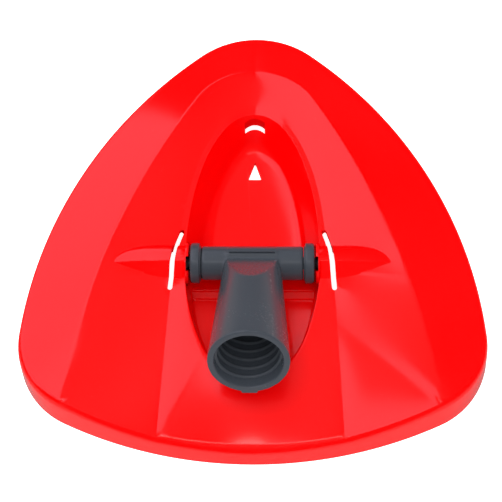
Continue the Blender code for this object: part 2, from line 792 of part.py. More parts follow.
def build_collar(tag, side, material):
    start = crossbar_half_length + fit_gap
    bore = axle_radius + fit_gap
    profile = ((start, bore), (start, collar_radius - 0.5), (start + 0.5, collar_radius),
               (start + collar_width - 0.8, collar_radius), (start + collar_width, collar_radius - 0.8),
               (start + collar_width, bore), (start, bore))
    data = lathe_x([(side * x, radius) for x, radius in profile], 40)
    collar = object_from_bmesh("pivot_collar_" + tag, data, parts, material)
    bake(collar, 30)
    return collar


def build_axle(material):
    tip = axle_radius - 0.7
    data = lathe_x(((-axle_reach, 0), (-axle_reach, tip), (-axle_reach + 0.8, axle_radius),
                    (axle_reach - 0.8, axle_radius), (axle_reach, tip), (axle_reach, 0)), 32)
    axle = object_from_bmesh("pivot_axle", data, parts, material)
    bake(axle, 30)
    return axle


clear_scene()
parts = make_collection("mop_head_base", False)
cutters = make_collection("cutters", True)

red = make_material("shell_red", body_colour, 0.22)
red_frame = make_material("frame_red", frame_colour, 0.4)
grey = make_material("swivel_grey", swivel_colour, 0.38)
dark = make_material("axle_dark", pin_colour, 0.35)
clip_white = make_material("clip_natural", clip_colour, 0.45)
steel = make_material("screw_steel", steel_colour, 0.3, 1.0)

build_shell(red)
build_frame(red_frame)
for number, screw_angle in enumerate(screw_angles, start=1):
    build_screw(number, screw_angle, steel)
for clip_tag, clip_angle in clip_angles.items():
    build_clip(clip_tag, clip_angle, clip_white)

pivot = bpy.data.objects.new("swivel_pivot", None)
pivot.location = (0, pivot_y * MM, pivot_height * MM)
pivot.rotation_euler = (math.radians(90 - rest_tilt), 0, 0)
parts.objects.link(pivot)
swivel_pieces = [build_tee(grey), build_axle(dark)]
swivel_pieces += [build_collar("right", 1, grey), build_collar("left", -1, grey)]
for piece in swivel_pieces:
    piece.parent = pivot
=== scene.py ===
# Triangular mop head base: glossy red shell with a tilting slate-grey handle socket.
import json
import math

import bmesh
import bpy
import numpy as np
from mathutils import Matrix, Vector


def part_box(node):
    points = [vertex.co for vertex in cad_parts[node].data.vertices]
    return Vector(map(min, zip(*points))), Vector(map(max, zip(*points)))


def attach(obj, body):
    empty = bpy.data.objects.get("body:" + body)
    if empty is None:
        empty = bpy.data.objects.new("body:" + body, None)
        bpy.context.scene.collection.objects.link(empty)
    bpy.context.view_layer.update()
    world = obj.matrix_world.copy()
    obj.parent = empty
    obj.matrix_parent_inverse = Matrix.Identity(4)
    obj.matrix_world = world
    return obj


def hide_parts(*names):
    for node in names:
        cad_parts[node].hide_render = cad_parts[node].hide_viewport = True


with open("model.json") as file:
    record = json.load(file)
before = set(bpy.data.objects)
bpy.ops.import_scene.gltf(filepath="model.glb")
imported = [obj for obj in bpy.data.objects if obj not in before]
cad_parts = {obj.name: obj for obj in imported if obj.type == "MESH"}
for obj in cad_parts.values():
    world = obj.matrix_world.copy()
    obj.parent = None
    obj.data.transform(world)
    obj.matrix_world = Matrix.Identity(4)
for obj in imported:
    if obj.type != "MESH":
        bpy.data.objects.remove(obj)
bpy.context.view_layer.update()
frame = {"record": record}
mm = 0.001

shellLow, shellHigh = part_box("top_shell")
tiltJoint = frame["record"]["behaviour"]["joints"][0]
pivot = Vector(tiltJoint["pos_m"]) / mm  # centre of the crossbar, in millimetres

head = {
    "width": (shellHigh.x - shellLow.x) / mm,
    "frontY": shellLow.y / mm,
    "tipY": shellHigh.y / mm,
    "cornerRadius": 35.0,
    "tipRadius": 40.0,
    "sideRadius": 192.0,
    "frontRadius": 184.0,
    "wall": 2.4,
    "rays": 400,  # sections round the pivot
    "innerRays": 180,
    "creaseGap": 0.004,  # radians, keeps the centre crease crisp
    "rayRoom": 0.35,
}
skirt = {
    "draft": 0.7,
    "shoulder": 3.0,
    "bendShare": 0.4,  # where the shoulder bends, as a share of its width and of its rise
    "bendRise": 0.72,
    "topFront": 8.0,
    "topSide": 12.6,
    "edgeFront": 12.5,
    "edgeTongue": 14.7,
    "edgeSide": 15.2,
    "edgeFade": 0.45,  # radians
}
crest = {
    "height": 24.6,
    "heightCorner": 20.4,
    "tipInset": 23.2,
    "tipDip": 2.0,
    "tipSpan": 25.0,
    "fullTurn": 0.1,  # the crest is at its full height from here on, in radians
    "peakInset": 4.0,
    "radius": 326.0,
    "cornerInsetX": 21.0,
    "cornerInsetY": 20.6,
}
tipTurn = 0.6  # the rear tip's dips are only rearward of this, in radians
tongue = {
    "halfFront": 38.5,
    "halfSlit": 34.0,
    "hug": 2.6,  # its gap round the recess
    "startSine": -0.12,
    "rise": 0.1,
    "slopeTurn": -0.3,
    "leastAcross": 0.02,
}
farAway = 1000.0
recess = {
    "halfWidth": 28.2,  # at the lip
    "rear": 70.0,
    "front": 51.5,
    "runSide": 7.0,  # how far each wall leans in
    "runEnd": 10.0,
    "runWell": 1.6,
    "lipSide": 21.4,
    "lipRear": 22.4,
    "lipDip": 0.9,
    "lipDipSpan": 12.0,
    "lipFront": 18.4,
    "floor": 7.4,
    "wellFade": 0.3,
    "wellFloor": 4.6,
    "wellGrow": -0.1,
    "wellStart": 7.4,  # how far in front of the crossbar's middle
    "wellSlope": 2.4,
    "wellEase": 0.9,
    "wellMargin": 4.5,
}
corners = {  # how far each corner of the section is eased, from the foot inward
    "foot": 0.5,
    "skirtTop": 3.2,
    "shoulder": 1.6,
    "edge": 1.3,
    "crest": 1.5,
    "valley": 0.9,
    "lip": 1.5,
    "floor": 4.5,
    "wellFoot": 0.2,
    "steps": 6,
}
cavity = {  # the inside of the shell, measured from the outside
    "edgeInset": 2.0,
    "valleyGap": 0.5,
    "foot": -1.0,
    "skirtDrop": 0.6,
    "lipDrop": 0.4,
    "floorShare": 0.8,
    "wellShare": 0.5,
    "wellBack": 0.8,
    "easings": (0, 1.2, 1.2, 1.2, 1.0, 1.2, 3.5, 0, 0),
    "steps": 4,
}
poleRadius = 0.3  # closes a section at the middle
poleShare = 0.55
innerPoleShare = 0.5
axisRadius = 0.0005  # a turned part's ring on its axis
easeShare = 0.45  # an easing takes at most this share of each side
easeLeast = 0.01
loftMerge = 0.000004  # metres
meshMerge = 0.000003


# small mesh tools, all in millimetres until the last step
def linked(name, content):
    piece = bpy.data.objects.new(name, content)
    bpy.context.scene.collection.objects.link(piece)
    return piece


def toObject(name, data, material=None):
    bmesh.ops.recalc_face_normals(data, faces=data.faces)
    mesh = bpy.data.meshes.new(name)
    data.to_mesh(mesh)
    data.free()
    if material:
        mesh.materials.append(material)
    return linked(name, mesh)


def rotated(data, matrix):
    bmesh.ops.rotate(data, verts=data.verts, matrix=matrix)
    return data


def loft(rings, closedEnds=True, ringLoop=False):
    data = bmesh.new()
    rows = [[data.verts.new(Vector(point) * mm) for point in ring] for ring in rings]
    count = len(rings[0])
    pairs = list(zip(rows, rows[1:]))
    if ringLoop:
        pairs.append((rows[-1], rows[0]))
    for row, after in pairs:
        for k in range(count):
            data.faces.new((row[k], row[(k + 1) % count], after[(k + 1) % count], after[k]))
    if closedEnds and not ringLoop:
        data.faces.new(rows[0])
        data.faces.new(rows[-1])
    bmesh.ops.remove_doubles(data, verts=data.verts, dist=loftMerge)
    return data


def turned(profile, axis="Z", segments=96):
    rings = []
    for radius, height in profile:
        ring = []
        for k in range(segments):
            turn = math.tau * k / segments
            a = max(radius, axisRadius) * math.cos(turn)
            b = max(radius, axisRadius) * math.sin(turn)
            ring.append((a, b, height) if axis == "Z" else (height, a, b))
        rings.append(ring)
    return loft(rings)


def prism(outline, low, high):
    return loft([[(x, y, low) for x, y in outline], [(x, y, high) for x, y in outline]])


def block(x0, x1, y0, y1, z0, z1):
    return prism(((x0, y0), (x1, y0), (x1, y1), (x0, y1)), z0, z1)


def shifted(data, x, y, z=0.0):
    bmesh.ops.translate(data, verts=data.verts, vec=Vector((x, y, z)) * mm)
    return data


def together(name, pieces):
    data = bmesh.new()
    for part in pieces:
        bmesh.ops.recalc_face_normals(part, faces=part.faces)
        mesh = bpy.data.meshes.new("part")
        part.to_mesh(mesh)
        part.free()
        data.from_mesh(mesh)
        bpy.data.meshes.remove(mesh)
    mesh = bpy.data.meshes.new(name)
    data.to_mesh(mesh)
    data.free()
    return linked(name, mesh)


def settle(piece):
    bpy.context.view_layer.update()
    graph = bpy.context.evaluated_depsgraph_get()
    mesh = bpy.data.meshes.new_from_object(piece.evaluated_get(graph))
    old = piece.data
    piece.modifiers.clear()
    piece.data = mesh
    bpy.data.meshes.remove(old)


def carve(piece, tool, operation="DIFFERENCE"):
    step = piece.modifiers.new("carve", "BOOLEAN")
    step.operation = operation
    step.solver = "EXACT"
    step.object = tool
    settle(piece)
    bpy.data.objects.remove(tool, do_unlink=True)


def finishMesh(piece, angle=32.0):
    data = bmesh.new()
    data.from_mesh(piece.data)
    bmesh.ops.remove_doubles(data, verts=data.verts, dist=meshMerge)
    bmesh.ops.dissolve_degenerate(data, dist=meshMerge, edges=data.edges)
    data.to_mesh(piece.data)
    data.free()
    piece.data.shade_smooth()
    piece.data.set_sharp_from_angle(angle=math.radians(angle))


def eased(points, easings, steps):
    out = []
    last = len(points) - 1
    for k, point in enumerate(points):
        cut = easings[k]
        if k in (0, last) or cut <= 0:
            out.append(point)
            continue
        before = Vector(points[k - 1]) - Vector(point)
        after = Vector(points[k + 1]) - Vector(point)
        reach = min(cut, before.length * easeShare, after.length * easeShare)
        if reach < easeLeast:
            out += [point] * steps
            continue
        start = Vector(point) + before.normalized() * reach
        end = Vector(point) + after.normalized() * reach
        for j in range(steps):
            t = j / (steps - 1)
            spot = start * (1 - t) ** 2 + Vector(point) * 2 * t * (1 - t) + end * t * t
            out.append(tuple(spot))
    return out


# plan curves, measured along rays from the pivot centre
def mirroredTurn(angle):
    return math.atan2(math.sin(angle), abs(math.cos(angle)))


def rayToCircle(angle, centre, radius):
    dx = math.cos(angle)
    dy = math.sin(angle)
    ox = -centre[0]
    oy = pivot.y - centre[1]
    along = ox * dx + oy * dy
    inside = along * along - (ox * ox + oy * oy - radius * radius)
    return -along + math.sqrt(inside) if inside > 0 else None


cornerX = head["width"] / 2 - head["cornerRadius"]
frontArcY = head["frontY"] + head["frontRadius"]
cornerY = frontArcY - math.sqrt((head["frontRadius"] - head["cornerRadius"]) ** 2 - cornerX ** 2)
tipCentreY = head["tipY"] - head["tipRadius"]


def flankCentre():
    spanY = cornerY - tipCentreY
    span = math.hypot(cornerX, spanY)
    toTip = head["sideRadius"] - head["tipRadius"]
    toCorner = head["sideRadius"] - head["cornerRadius"]
    along = (toTip ** 2 - toCorner ** 2 + span ** 2) / (2 * span)
    away = math.sqrt(toTip ** 2 - along ** 2)
    unitX = cornerX / span
    unitY = spanY / span
    return unitX * along + unitY * away, tipCentreY + unitY * along - unitX * away


flank = flankCentre()


def cornerSpan(cx, cy):
    toFlank = math.atan2(cy - flank[1], cx - flank[0])
    if cx == 0:
        return toFlank, math.pi - toFlank
    return math.atan2(cy - frontArcY, cx), toFlank


def outlineAt(angle, inset):
    turn = mirroredTurn(angle)
    arcs = ((0, tipCentreY, head["tipRadius"]), (cornerX, cornerY, head["cornerRadius"]))
    for cx, cy, radius in arcs:
        reach = rayToCircle(turn, (cx, cy), radius - inset)
        if reach is None:
            continue
        low, high = cornerSpan(cx, cy)
        facing = math.atan2(pivot.y + reach * math.sin(turn) - cy, reach * math.cos(turn) - cx)
        if low <= facing <= high:
            return reach
    front = rayToCircle(turn, (0, frontArcY), head["frontRadius"] - inset)
    side = rayToCircle(turn, flank, head["sideRadius"] - inset)
    if front is None or pivot.y + front * math.sin(turn) > cornerY:
        return side
    return min(front, side)


def crestCentre():
    startY = head["tipY"] - crest["peakInset"]
    endX = head["width"] / 2 - crest["cornerInsetX"]
    endY = head["frontY"] + crest["cornerInsetY"]
    span = math.hypot(endX, endY - startY)
    away = math.sqrt(crest["radius"] ** 2 - (span / 2) ** 2)
    return endX / 2 + (endY - startY) / span * away, (startY + endY) / 2 - endX / span * away


crestMid = crestCentre()
crestRise = head["tipY"] - crest["tipInset"] - crestMid[1]
crestTip = (crest["radius"] ** 2 - crestMid[0] ** 2 - crestRise ** 2) / (2 * (crest["radius"] - crestRise))
crestTipY = head["tipY"] - crest["tipInset"] - crestTip
crestLean = math.atan2(crestTipY - crestMid[1], -crestMid[0])
crestTurn = math.atan2(crestTipY + crestTip * math.sin(crestLean) - pivot.y, crestTip * math.cos(crestLean))


def crestAt(angle):
    turn = mirroredTurn(angle)
    if turn > crestTurn:
        return rayToCircle(turn, (0, crestTipY), crestTip)
    return rayToCircle(turn, crestMid, crest["radius"])


def ramp(value, low, high):
    t = min(1.0, max(0.0, (value - low) / (high - low)))
    return t * t * (3 - 2 * t)


def eggAt(angle, grow, runSide=0.0, runEnd=0.0):
    reach = recess["rear"] if math.sin(angle) > 0 else recess["front"]
    across = (math.cos(angle) / (recess["halfWidth"] - runSide + grow)) ** 2
    along = (math.sin(angle) / (reach - runEnd + grow)) ** 2
    return 1 / math.sqrt(across + along)


def floorAt(angle, grow):
    steep = ramp(-math.sin(angle), 0.0, recess["wellFade"])
    side = recess["runSide"] + (recess["runWell"] - recess["runSide"]) * steep
    end = recess["runEnd"] + (recess["runWell"] - recess["runEnd"]) * steep
    return eggAt(angle, grow, side, end)


slit = {
    "width": 2.1,
    "path": ((29.9, 13.6), (32.0, 7.2), (33.2, -1.0), (34.2, -11.2)),
    "steps": 8,
}


def tongueAt(angle):
    hug = eggAt(angle, tongue["hug"])
    if math.sin(angle) > tongue["startSine"]:
        return hug
    slitEndY = pivot.y + slit["path"][-1][1]
    slope = (tongue["halfFront"] - tongue["halfSlit"]) / (slitEndY - head["frontY"])
    across = abs(math.cos(angle)) + slope * math.sin(angle)
    start = tongue["halfSlit"] + slope * (slitEndY - pivot.y)
    return max(hug, start / across) if across > tongue["leastAcross"] else farAway


def meetingTurn(curve, low, high):
    for _ in range(40):
        middle = (low + high) / 2
        if curve(middle) > outlineAt(middle, skirt["shoulder"]):
            low = middle
        else:
            high = middle
    return (low + high) / 2


cornerTurn = meetingTurn(crestAt, math.radians(-60), math.radians(-20))
tongueTurn = meetingTurn(tongueAt, math.radians(-85), math.radians(-45))


def edgeHeight(turn):
    if turn > cornerTurn:
        rise = ramp(turn, cornerTurn, cornerTurn + skirt["edgeFade"])
        return crest["heightCorner"] + (skirt["edgeSide"] - crest["heightCorner"]) * rise
    if turn > tongueTurn:
        share = (turn - tongueTurn) / (cornerTurn - tongueTurn)
        return skirt["edgeTongue"] + (crest["heightCorner"] - skirt["edgeTongue"]) * share
    share = ramp(turn, -math.pi / 2, tongueTurn)
    return skirt["edgeFront"] + (skirt["edgeTongue"] - skirt["edgeFront"]) * share


def crestHeight(turn, reach):
    share = ramp(turn, cornerTurn, crest["fullTurn"])
    height = crest["heightCorner"] + (crest["height"] - crest["heightCorner"]) * share
    if turn <= tipTurn:
        return height
    across = abs(reach * math.cos(turn))
    return height - crest["tipDip"] * max(0.0, 1 - across / crest["tipSpan"])


def lipHeight(turn, reach):
    end = recess["lipRear"] if turn > 0 else recess["lipFront"]
    height = recess["lipSide"] + (end - recess["lipSide"]) * ramp(abs(turn), 0, math.pi / 2)
    if turn <= tipTurn:
        return height
    across = abs(reach * math.cos(turn))
    return height - recess["lipDip"] * max(0.0, 1 - across / recess["lipDipSpan"])


def section(angle):
    turn = mirroredTurn(angle)
    edge = outlineAt(angle, skirt["shoulder"])
    top = min(crestAt(angle), edge)
    valley = min(tongueAt(angle), edge)
    lip = eggAt(angle, 0)
    edgeZ = edgeHeight(turn)
    topZ = edgeZ if top == edge else crestHeight(turn, top)
    lipZ = lipHeight(turn, lip)
    valleyZ = edgeZ if valley == edge else lipHeight(turn, valley) + tongue["rise"]
    if edge > valley and turn < tongue["slopeTurn"]:
        share = (valley - lip) / max(edge - lip, 0.001)
        valleyZ = min(valleyZ, lipZ + (skirt["edgeTongue"] - lipZ) * share)
    bend = outlineAt(angle, skirt["shoulder"] * skirt["bendShare"])
    rise = skirt["topFront"] + (skirt["topSide"] - skirt["topFront"]) * ramp(turn, -math.pi / 2, cornerTurn)
    return [
        (outlineAt(angle, 0), 0.0),
        (outlineAt(angle, skirt["draft"]), rise),
        (bend, rise + (edgeZ - rise) * skirt["bendRise"]),
        (edge, edgeZ),
        (top, topZ),
        (valley, valleyZ),
        (lip, lipZ),
        (floorAt(angle, 0), recess["floor"]),
    ]


def innerSection(angle):
    outer = section(angle)
    wall = head["wall"]
    lip = eggAt(angle, wall)
    edge = min(outer[3][0], outlineAt(angle, wall + cavity["edgeInset"]))
    top = min(outer[4][0], edge)
    valley = min(max(outer[5][0], lip + cavity["valleyGap"]), top)
    return [
        (outlineAt(angle, wall), cavity["foot"]),
        (outlineAt(angle, wall + skirt["draft"]), outer[1][1] - cavity["skirtDrop"]),
        (edge, outer[3][1] - wall),
        (top, outer[4][1] - wall),
        (valley, outer[5][1] - wall),
        (lip, outer[6][1] - wall - cavity["lipDrop"]),
        (floorAt(angle, wall * cavity["floorShare"]), recess["floor"] - wall),
    ]


def surfaceHeight(x, y):
    angle = math.atan2(y - pivot.y, x)
    reach = math.hypot(x, y - pivot.y)
    line = section(angle)
    for (r0, z0), (r1, z1) in zip(line, line[1:]):
        if r1 <= reach <= r0 and r0 > r1:
            return z0 + (z1 - z0) * (r0 - reach) / (r0 - r1)
    return line[-1][1]


def rayAngles(count):
    exact = [math.pi / 2, -math.pi / 2]
    exact += [math.pi / 2 + head["creaseGap"], math.pi / 2 - head["creaseGap"]]
    for turn in (cornerTurn, tongueTurn):
        exact += [turn, -math.pi - turn]
    exact = [math.atan2(math.sin(a), math.cos(a)) for a in exact]
    step = math.tau / count
    even = [k * step - math.pi for k in range(count)]
    return sorted([a for a in even if all(abs(a - b) > step * head["rayRoom"] for b in exact)] + exact)


def raySolid(lines, angles):
    rings = []
    for k in range(len(lines[0])):
        rings.append([(line[k][0] * math.cos(a), pivot.y + line[k][0] * math.sin(a), line[k][1])
                      for a, line in zip(angles, lines)])
    return loft(rings)


# the panels between two corners of a section are drawn tight, like a skin
panels = {"steps": 14, "relax": 500, "speed": 1.0, "leastGap": 0.08}


def pulls(grid):
    gap = np.linalg.norm(grid[:, 1:] - grid[:, :-1], axis=2)
    across = np.linalg.norm(np.roll(grid, -1, axis=0) - grid, axis=2)
    return 1 / np.maximum(gap, panels["leastGap"]) ** 2, 1 / np.maximum(across, panels["leastGap"]) ** 2


def stretched(lines, angles, first, last):
    steps = panels["steps"]
    shares = np.linspace(0, 1, steps + 1)
    outer = np.array([line[first] for line in lines])
    inner = np.array([line[last] for line in lines])
    rz = outer[:, None] + (inner - outer)[:, None] * shares[None, :, None]
    turn = np.array(angles)
    plan = np.stack((rz[:, :, 0] * np.cos(turn)[:, None], rz[:, :, 0] * np.sin(turn)[:, None]), axis=2)
    along, across = pulls(plan)
    z = rz[:, :, 1].copy()
    ringBack = np.roll(across, 1, axis=0)
    weight = along[:, :-1] + along[:, 1:] + across[:, 1:-1] + ringBack[:, 1:-1]
    for _ in range(panels["relax"]):
        pull = along[:, :-1] * z[:, :-2] + along[:, 1:] * z[:, 2:]
        pull += (across[:, 1:-1] * np.roll(z, -1, axis=0)[:, 1:-1]
                 + ringBack[:, 1:-1] * np.roll(z, 1, axis=0)[:, 1:-1])
        z[:, 1:-1] += (pull / weight - z[:, 1:-1]) * panels["speed"]
    return [[(rz[k, j, 0], z[k, j]) for j in range(1, steps)] for k in range(len(lines))]


def outerSolid():
    angles = rayAngles(head["rays"])
    sections = [section(angle) for angle in angles]
    panel = stretched(sections, angles, 4, 5)  # crest to valley
    apron = stretched(sections, angles, 5, 6)  # valley to lip
    flat = [None] * (panels["steps"] - 1)
    order = ["foot", "skirtTop", "shoulder", "edge", "crest"] + flat + ["valley"] + flat
    order += ["lip", "floor", None, None]
    easings = [corners[name] if name else 0 for name in order]
    lines = []
    for k in range(len(angles)):
        points = sections[k][:5] + panel[k] + [sections[k][5]] + apron[k] + sections[k][6:]
        foot = points[0]
        points[0] = (foot[0], corners["foot"])
        points.insert(0, (foot[0] - corners["foot"], 0.0))
        base = points[-1]
        points += [(base[0] * poleShare, base[1]), (poleRadius, base[1])]
        steep = ramp(-math.sin(angles[k]), 0.0, recess["wellFade"])
        easings[-3] = corners["floor"] + (corners["wellFoot"] - corners["floor"]) * steep
        lines.append(eased(points, [0] + easings, corners["steps"]))
    return raySolid(lines, angles)


def hollowSolid():
    angles = rayAngles(head["innerRays"])
    lines = []
    for angle in angles:
        points = innerSection(angle)
        base = points[-1]
        points += [(base[0] * innerPoleShare, base[1]), (poleRadius, base[1])]
        lines.append(eased(points, cavity["easings"], cavity["steps"]))
    return raySolid(lines, angles)


# fairings outside the jaws
ear = {
    "top": 26.0,
    "reach": 57.6,  # from the head's middle to the point
    "crease": -1.3,
    "rear": 7.4,
    "front": -8.3,
    "start": 27.4,
    "steps": 36,
    "crownSteps": 16,
    "creaseEase": 0.7,
    "fall": 0.3,  # drop of the top line from the jaw to the point
    "rearTaper": 4,
    "frontTaper": 1.9,
    "riseTaper": 5,
    "sink": 1.0,  # how far its sides start below the panel
    "crown": 2.4,
    "base": 9.0,
    "baseDeep": -1.0,
    "tipGap": 0.2,
    "wall": 2.0,
}


def earLine(side, x, deeper):
    span = (x - ear["start"]) / (ear["reach"] - ear["start"])
    rearShare = math.sqrt(max(0.0, 1 - span ** ear["rearTaper"]))
    frontShare = max(0.0, 1 - span ** ear["frontTaper"])
    creaseY = pivot.y + ear["crease"]
    rearY = creaseY + (ear["rear"] - ear["crease"]) * rearShare - deeper
    frontY = creaseY + (ear["front"] - ear["crease"]) * frontShare + deeper
    panel = surfaceHeight(x, creaseY)
    rise = max(0.0, ear["top"] - ear["fall"] * span - panel) * (1 - span ** ear["riseTaper"])
    base = ear["base"] if deeper == 0 else ear["baseDeep"]
    sink = ear["sink"]
    points = [(rearY, base)]
    for k in range(ear["crownSteps"] + 1):
        share = k / ear["crownSteps"]
        crown = (1 - (1 - share) ** ear["crown"]) ** (1 / ear["crown"])
        points.append((rearY + (creaseY - rearY) * share, panel - sink + (rise + sink) * crown - deeper))
    points += [(frontY, panel - sink - deeper), (frontY, base)]
    ease = [0] * (ear["crownSteps"] + 1) + [0 if deeper else ear["creaseEase"]] + [0, 0]
    return [(side * x, y, z) for y, z in eased(points, ease, 5)]


def earSolid(side, deeper=0.0, start=ear["start"]):
    rings = []
    reach = ear["reach"] - ear["tipGap"] - deeper * 2
    for k in range(ear["steps"] + 1):
        x = start + (reach - start) * math.sin(k / ear["steps"] * math.pi / 2)
        rings.append(earLine(side, x, deeper))
    return loft(rings)


def smoothPath(points, steps):
    out = []
    for k in range(len(points) - 1):
        p0 = Vector(points[max(k - 1, 0)])
        p1 = Vector(points[k])
        p2 = Vector(points[k + 1])
        p3 = Vector(points[min(k + 2, len(points) - 1)])
        for j in range(steps):
            t = j / steps
            spot = 0.5 * (2 * p1 + (p2 - p0) * t + (2 * p0 - 5 * p1 + 4 * p2 - p3) * t * t
                          + (3 * p1 - p0 - 3 * p2 + p3) * t ** 3)
            out.append(tuple(spot))
    return out + [tuple(points[-1])]


def slitOutline(side):
    half = slit["width"] / 2
    points = smoothPath([(side * x, pivot.y + y) for x, y in slit["path"]], slit["steps"])
    left = []
    right = []
    for k, (x, y) in enumerate(points):
        before = points[max(k - 1, 0)]
        after = points[min(k + 1, len(points) - 1)]
        heading = math.atan2(after[1] - before[1], after[0] - before[0])
        left.append((x - half * math.sin(heading), y + half * math.cos(heading)))
        right.append((x + half * math.sin(heading), y - half * math.cos(heading)))
    caps = []
    for end, beside in ((0, 1), (-1, -2)):
        heading = math.atan2(points[end][1] - points[beside][1], points[end][0] - points[beside][0])
        turns = [math.pi / 2 - math.pi * (j + 1) / 8 for j in range(7)]
        caps.append([(points[end][0] + half * math.cos(heading + t),
                      points[end][1] + half * math.sin(heading + t)) for t in turns])
    return left + caps[1] + right[::-1] + caps[0]


screws = {
    "angles": (58.0, 122.0, 2.0, 178.0, -62.0, -118.0),
    "inset": 13.5,
    "headRadius": 3.0,
    "headHeight": 1.8,
    "shankRadius": 1.4,
    "length": 9.0,
    "gap": 0.3,
    "postRadius": 3.6,
    "postEase": 0.4,
    "crossHalf": 1.9,
    "crossWidth": 0.72,
    "crossDepth": 1.0,
    "turns": 8,
    "threadDepth": 0.25,
    "threadStart": 0.9,
    "tipRadius": 0.3,
    "turnSpread": 1.4,
    "seed": 7,
}
refillFrame = {
    "insetOuter": 6.0,
    "insetInner": 21.0,
    "low": 3.0,
    "high": 5.4,
    "ease": 0.5,
    "innerStep": 2.2,
    "outerStep": 4,
    "stepEase": 0.2,
    "rays": 360,
}
clips = {
    "angles": (90.0, -149.0, -31.0),
    "inset": 15.0,
    "width": 12.0,
    "stem": 1.9,
    "barb": 1.8,
    "gap": 0.3,
    "capHalf": 3.0,
    "capHeight": 1.6,
    "barbHigh": 2.2,
    "barbMid": 1.7,
    "barbLow": 1.2,
    "foot": 0.5,
    "bevel": 0.25,
}


def ringPoint(degrees, inset):
    angle = math.radians(degrees)
    reach = outlineAt(angle, inset)
    return reach * math.cos(angle), pivot.y + reach * math.sin(angle)


jaw = {
    "face": 27.4,  # from the head's middle to the inner face
    "pocketRadius": 9.7,
    "seatRadius": 3.0,
    "seatReach": 29.5,
    "bossRadius": 8.6,
    "bossRise": 1.1,
    "bossSink": 0.4,
    "mouthLean": 25.0,
    "mouthHeight": 14,
    "seatFlare": 1.2,
    "seatFlareDepth": 1.0,
}
windows = {
    "arcWidth": 8.6,
    "arcHeight": 3.0,
    "arcReach": 68.9,
    "arcBow": 1.6,
    "arrowWidth": 6.0,
    "arrowLength": 8.0,
    "arrowReach": 45.9,
    "cornerEase": 0.4,
    "pointHalf": 0.35,
    "pointDrop": 0.3,
}
through = (-2, 40)  # heights of a cut that goes right through
aboveAll = 40


def wellOutline(grow, start, step=2):
    points = []
    for degrees in range(-176, -3, step):
        angle = math.radians(degrees)
        reach = floorAt(angle, grow)
        points.append((reach * math.cos(angle), pivot.y + reach * math.sin(angle)))
    points = [point for point in points if point[1] < pivot.y - recess["wellStart"] - recess["wellMargin"]]
    return [(points[0][0], pivot.y - start)] + points + [(points[-1][0], pivot.y - start)]


def wellSolid():
    ease = recess["wellEase"]
    low = recess["wellFloor"]
    high = recess["floor"]
    grow = recess["wellGrow"]
    turns = [math.pi / 2 * k / 6 for k in range(7)]
    rings = [(grow - ease * (1 - math.sin(turn)), recess["wellSlope"] + ease * (1 - math.sin(turn)),
              low + ease * (1 - math.cos(turn))) for turn in turns]  # rounded along the bottom
    rings += [(grow, -ease * (1 - math.cos(turn)), high - ease + ease * math.sin(turn))
              for turn in turns]  # and rolled over the step
    rings.append((grow, -ease, high + 6))
    return loft([[(x, y, z) for x, y in wellOutline(wide, recess["wellStart"] + start)]
                 for wide, start, z in rings])


def jawOutline(side, half):
    inner = recess["halfWidth"] - recess["runSide"] - 1
    path = smoothPath(slit["path"], slit["steps"])
    edge = [(x - slit["width"] / 2, y) for x, y in path if abs(y) < half]
    points = [(inner, -half), (inner, half), (edge[0][0], half)] + edge + [(edge[-1][0], -half)]
    return [(side * x, pivot.y + y) for x, y in points]


def rod(radius, low, high, axis="Z", segments=96):
    return turned(((0, low), (radius, low), (radius, high), (0, high)), axis, segments)


def atPivot(data):
    return shifted(data, 0, pivot.y, pivot.z)


def keepWalls(inner):
    wall = head["wall"]
    half = jaw["pocketRadius"] + wall
    blocks = [prism(jawOutline(side, half), pivot.z - half, aboveAll) for side in (1, -1)]
    carve(inner, together("jawBlocks", blocks))
    under = wellOutline(wall * cavity["wellShare"], recess["wellStart"] - wall - cavity["wellBack"])
    carve(inner, together("wellBlock", [prism(under, recess["wellFloor"] - wall, aboveAll)]))
    posts = []
    low = refillFrame["high"] + screws["gap"]
    radius = screws["postRadius"]
    ease = screws["postEase"]
    for angle in screws["angles"]:
        x, y = ringPoint(angle, screws["inset"])
        line = ((0, low), (radius - ease, low), (radius, low + ease), (radius, aboveAll), (0, aboveAll))
        posts.append(shifted(turned(line, segments=40), x, y))
    carve(inner, together("posts", posts))


def cutJaws(shell):
    face = jaw["face"]
    carve(shell, together("pocket", [atPivot(rod(jaw["pocketRadius"], -face, face, "X", 120))]))
    bosses = []
    mouths = []
    front = face - jaw["bossRise"]
    back = face + jaw["bossSink"]
    wide = jaw["bossRadius"]
    lean = Matrix.Rotation(math.radians(jaw["mouthLean"]), 3, "X")
    for side in (1, -1):
        line = [(0, side * front), (wide - 1.0, side * front), (wide - 0.35, side * (front + 0.2)),
                (wide, side * (front + 0.7)), (wide, side * back), (0, side * back)]
        bosses.append(atPivot(turned(line, "X", 72)))
        x0, x1 = sorted((side * (front - 0.5), side * (face + 0.05)))
        mouth = block(x0, x1, -jaw["seatRadius"], jaw["seatRadius"], 0, jaw["mouthHeight"])
        mouths.append(atPivot(rotated(mouth, lean)))
    carve(shell, together("bosses", bosses), "UNION")
    carve(shell, together("mouths", mouths))
    reach = jaw["seatReach"]
    wide = jaw["seatRadius"]
    flared = wide + jaw["seatFlare"]
    inner = face - jaw["seatFlareDepth"]
    seat = turned(((0, -reach), (wide, -reach), (wide, -face - 0.2), (flared, -inner), (flared, inner),
                   (wide, face + 0.2), (wide, reach), (0, reach)), "X", 64)
    carve(shell, together("seats", [atPivot(seat)]))


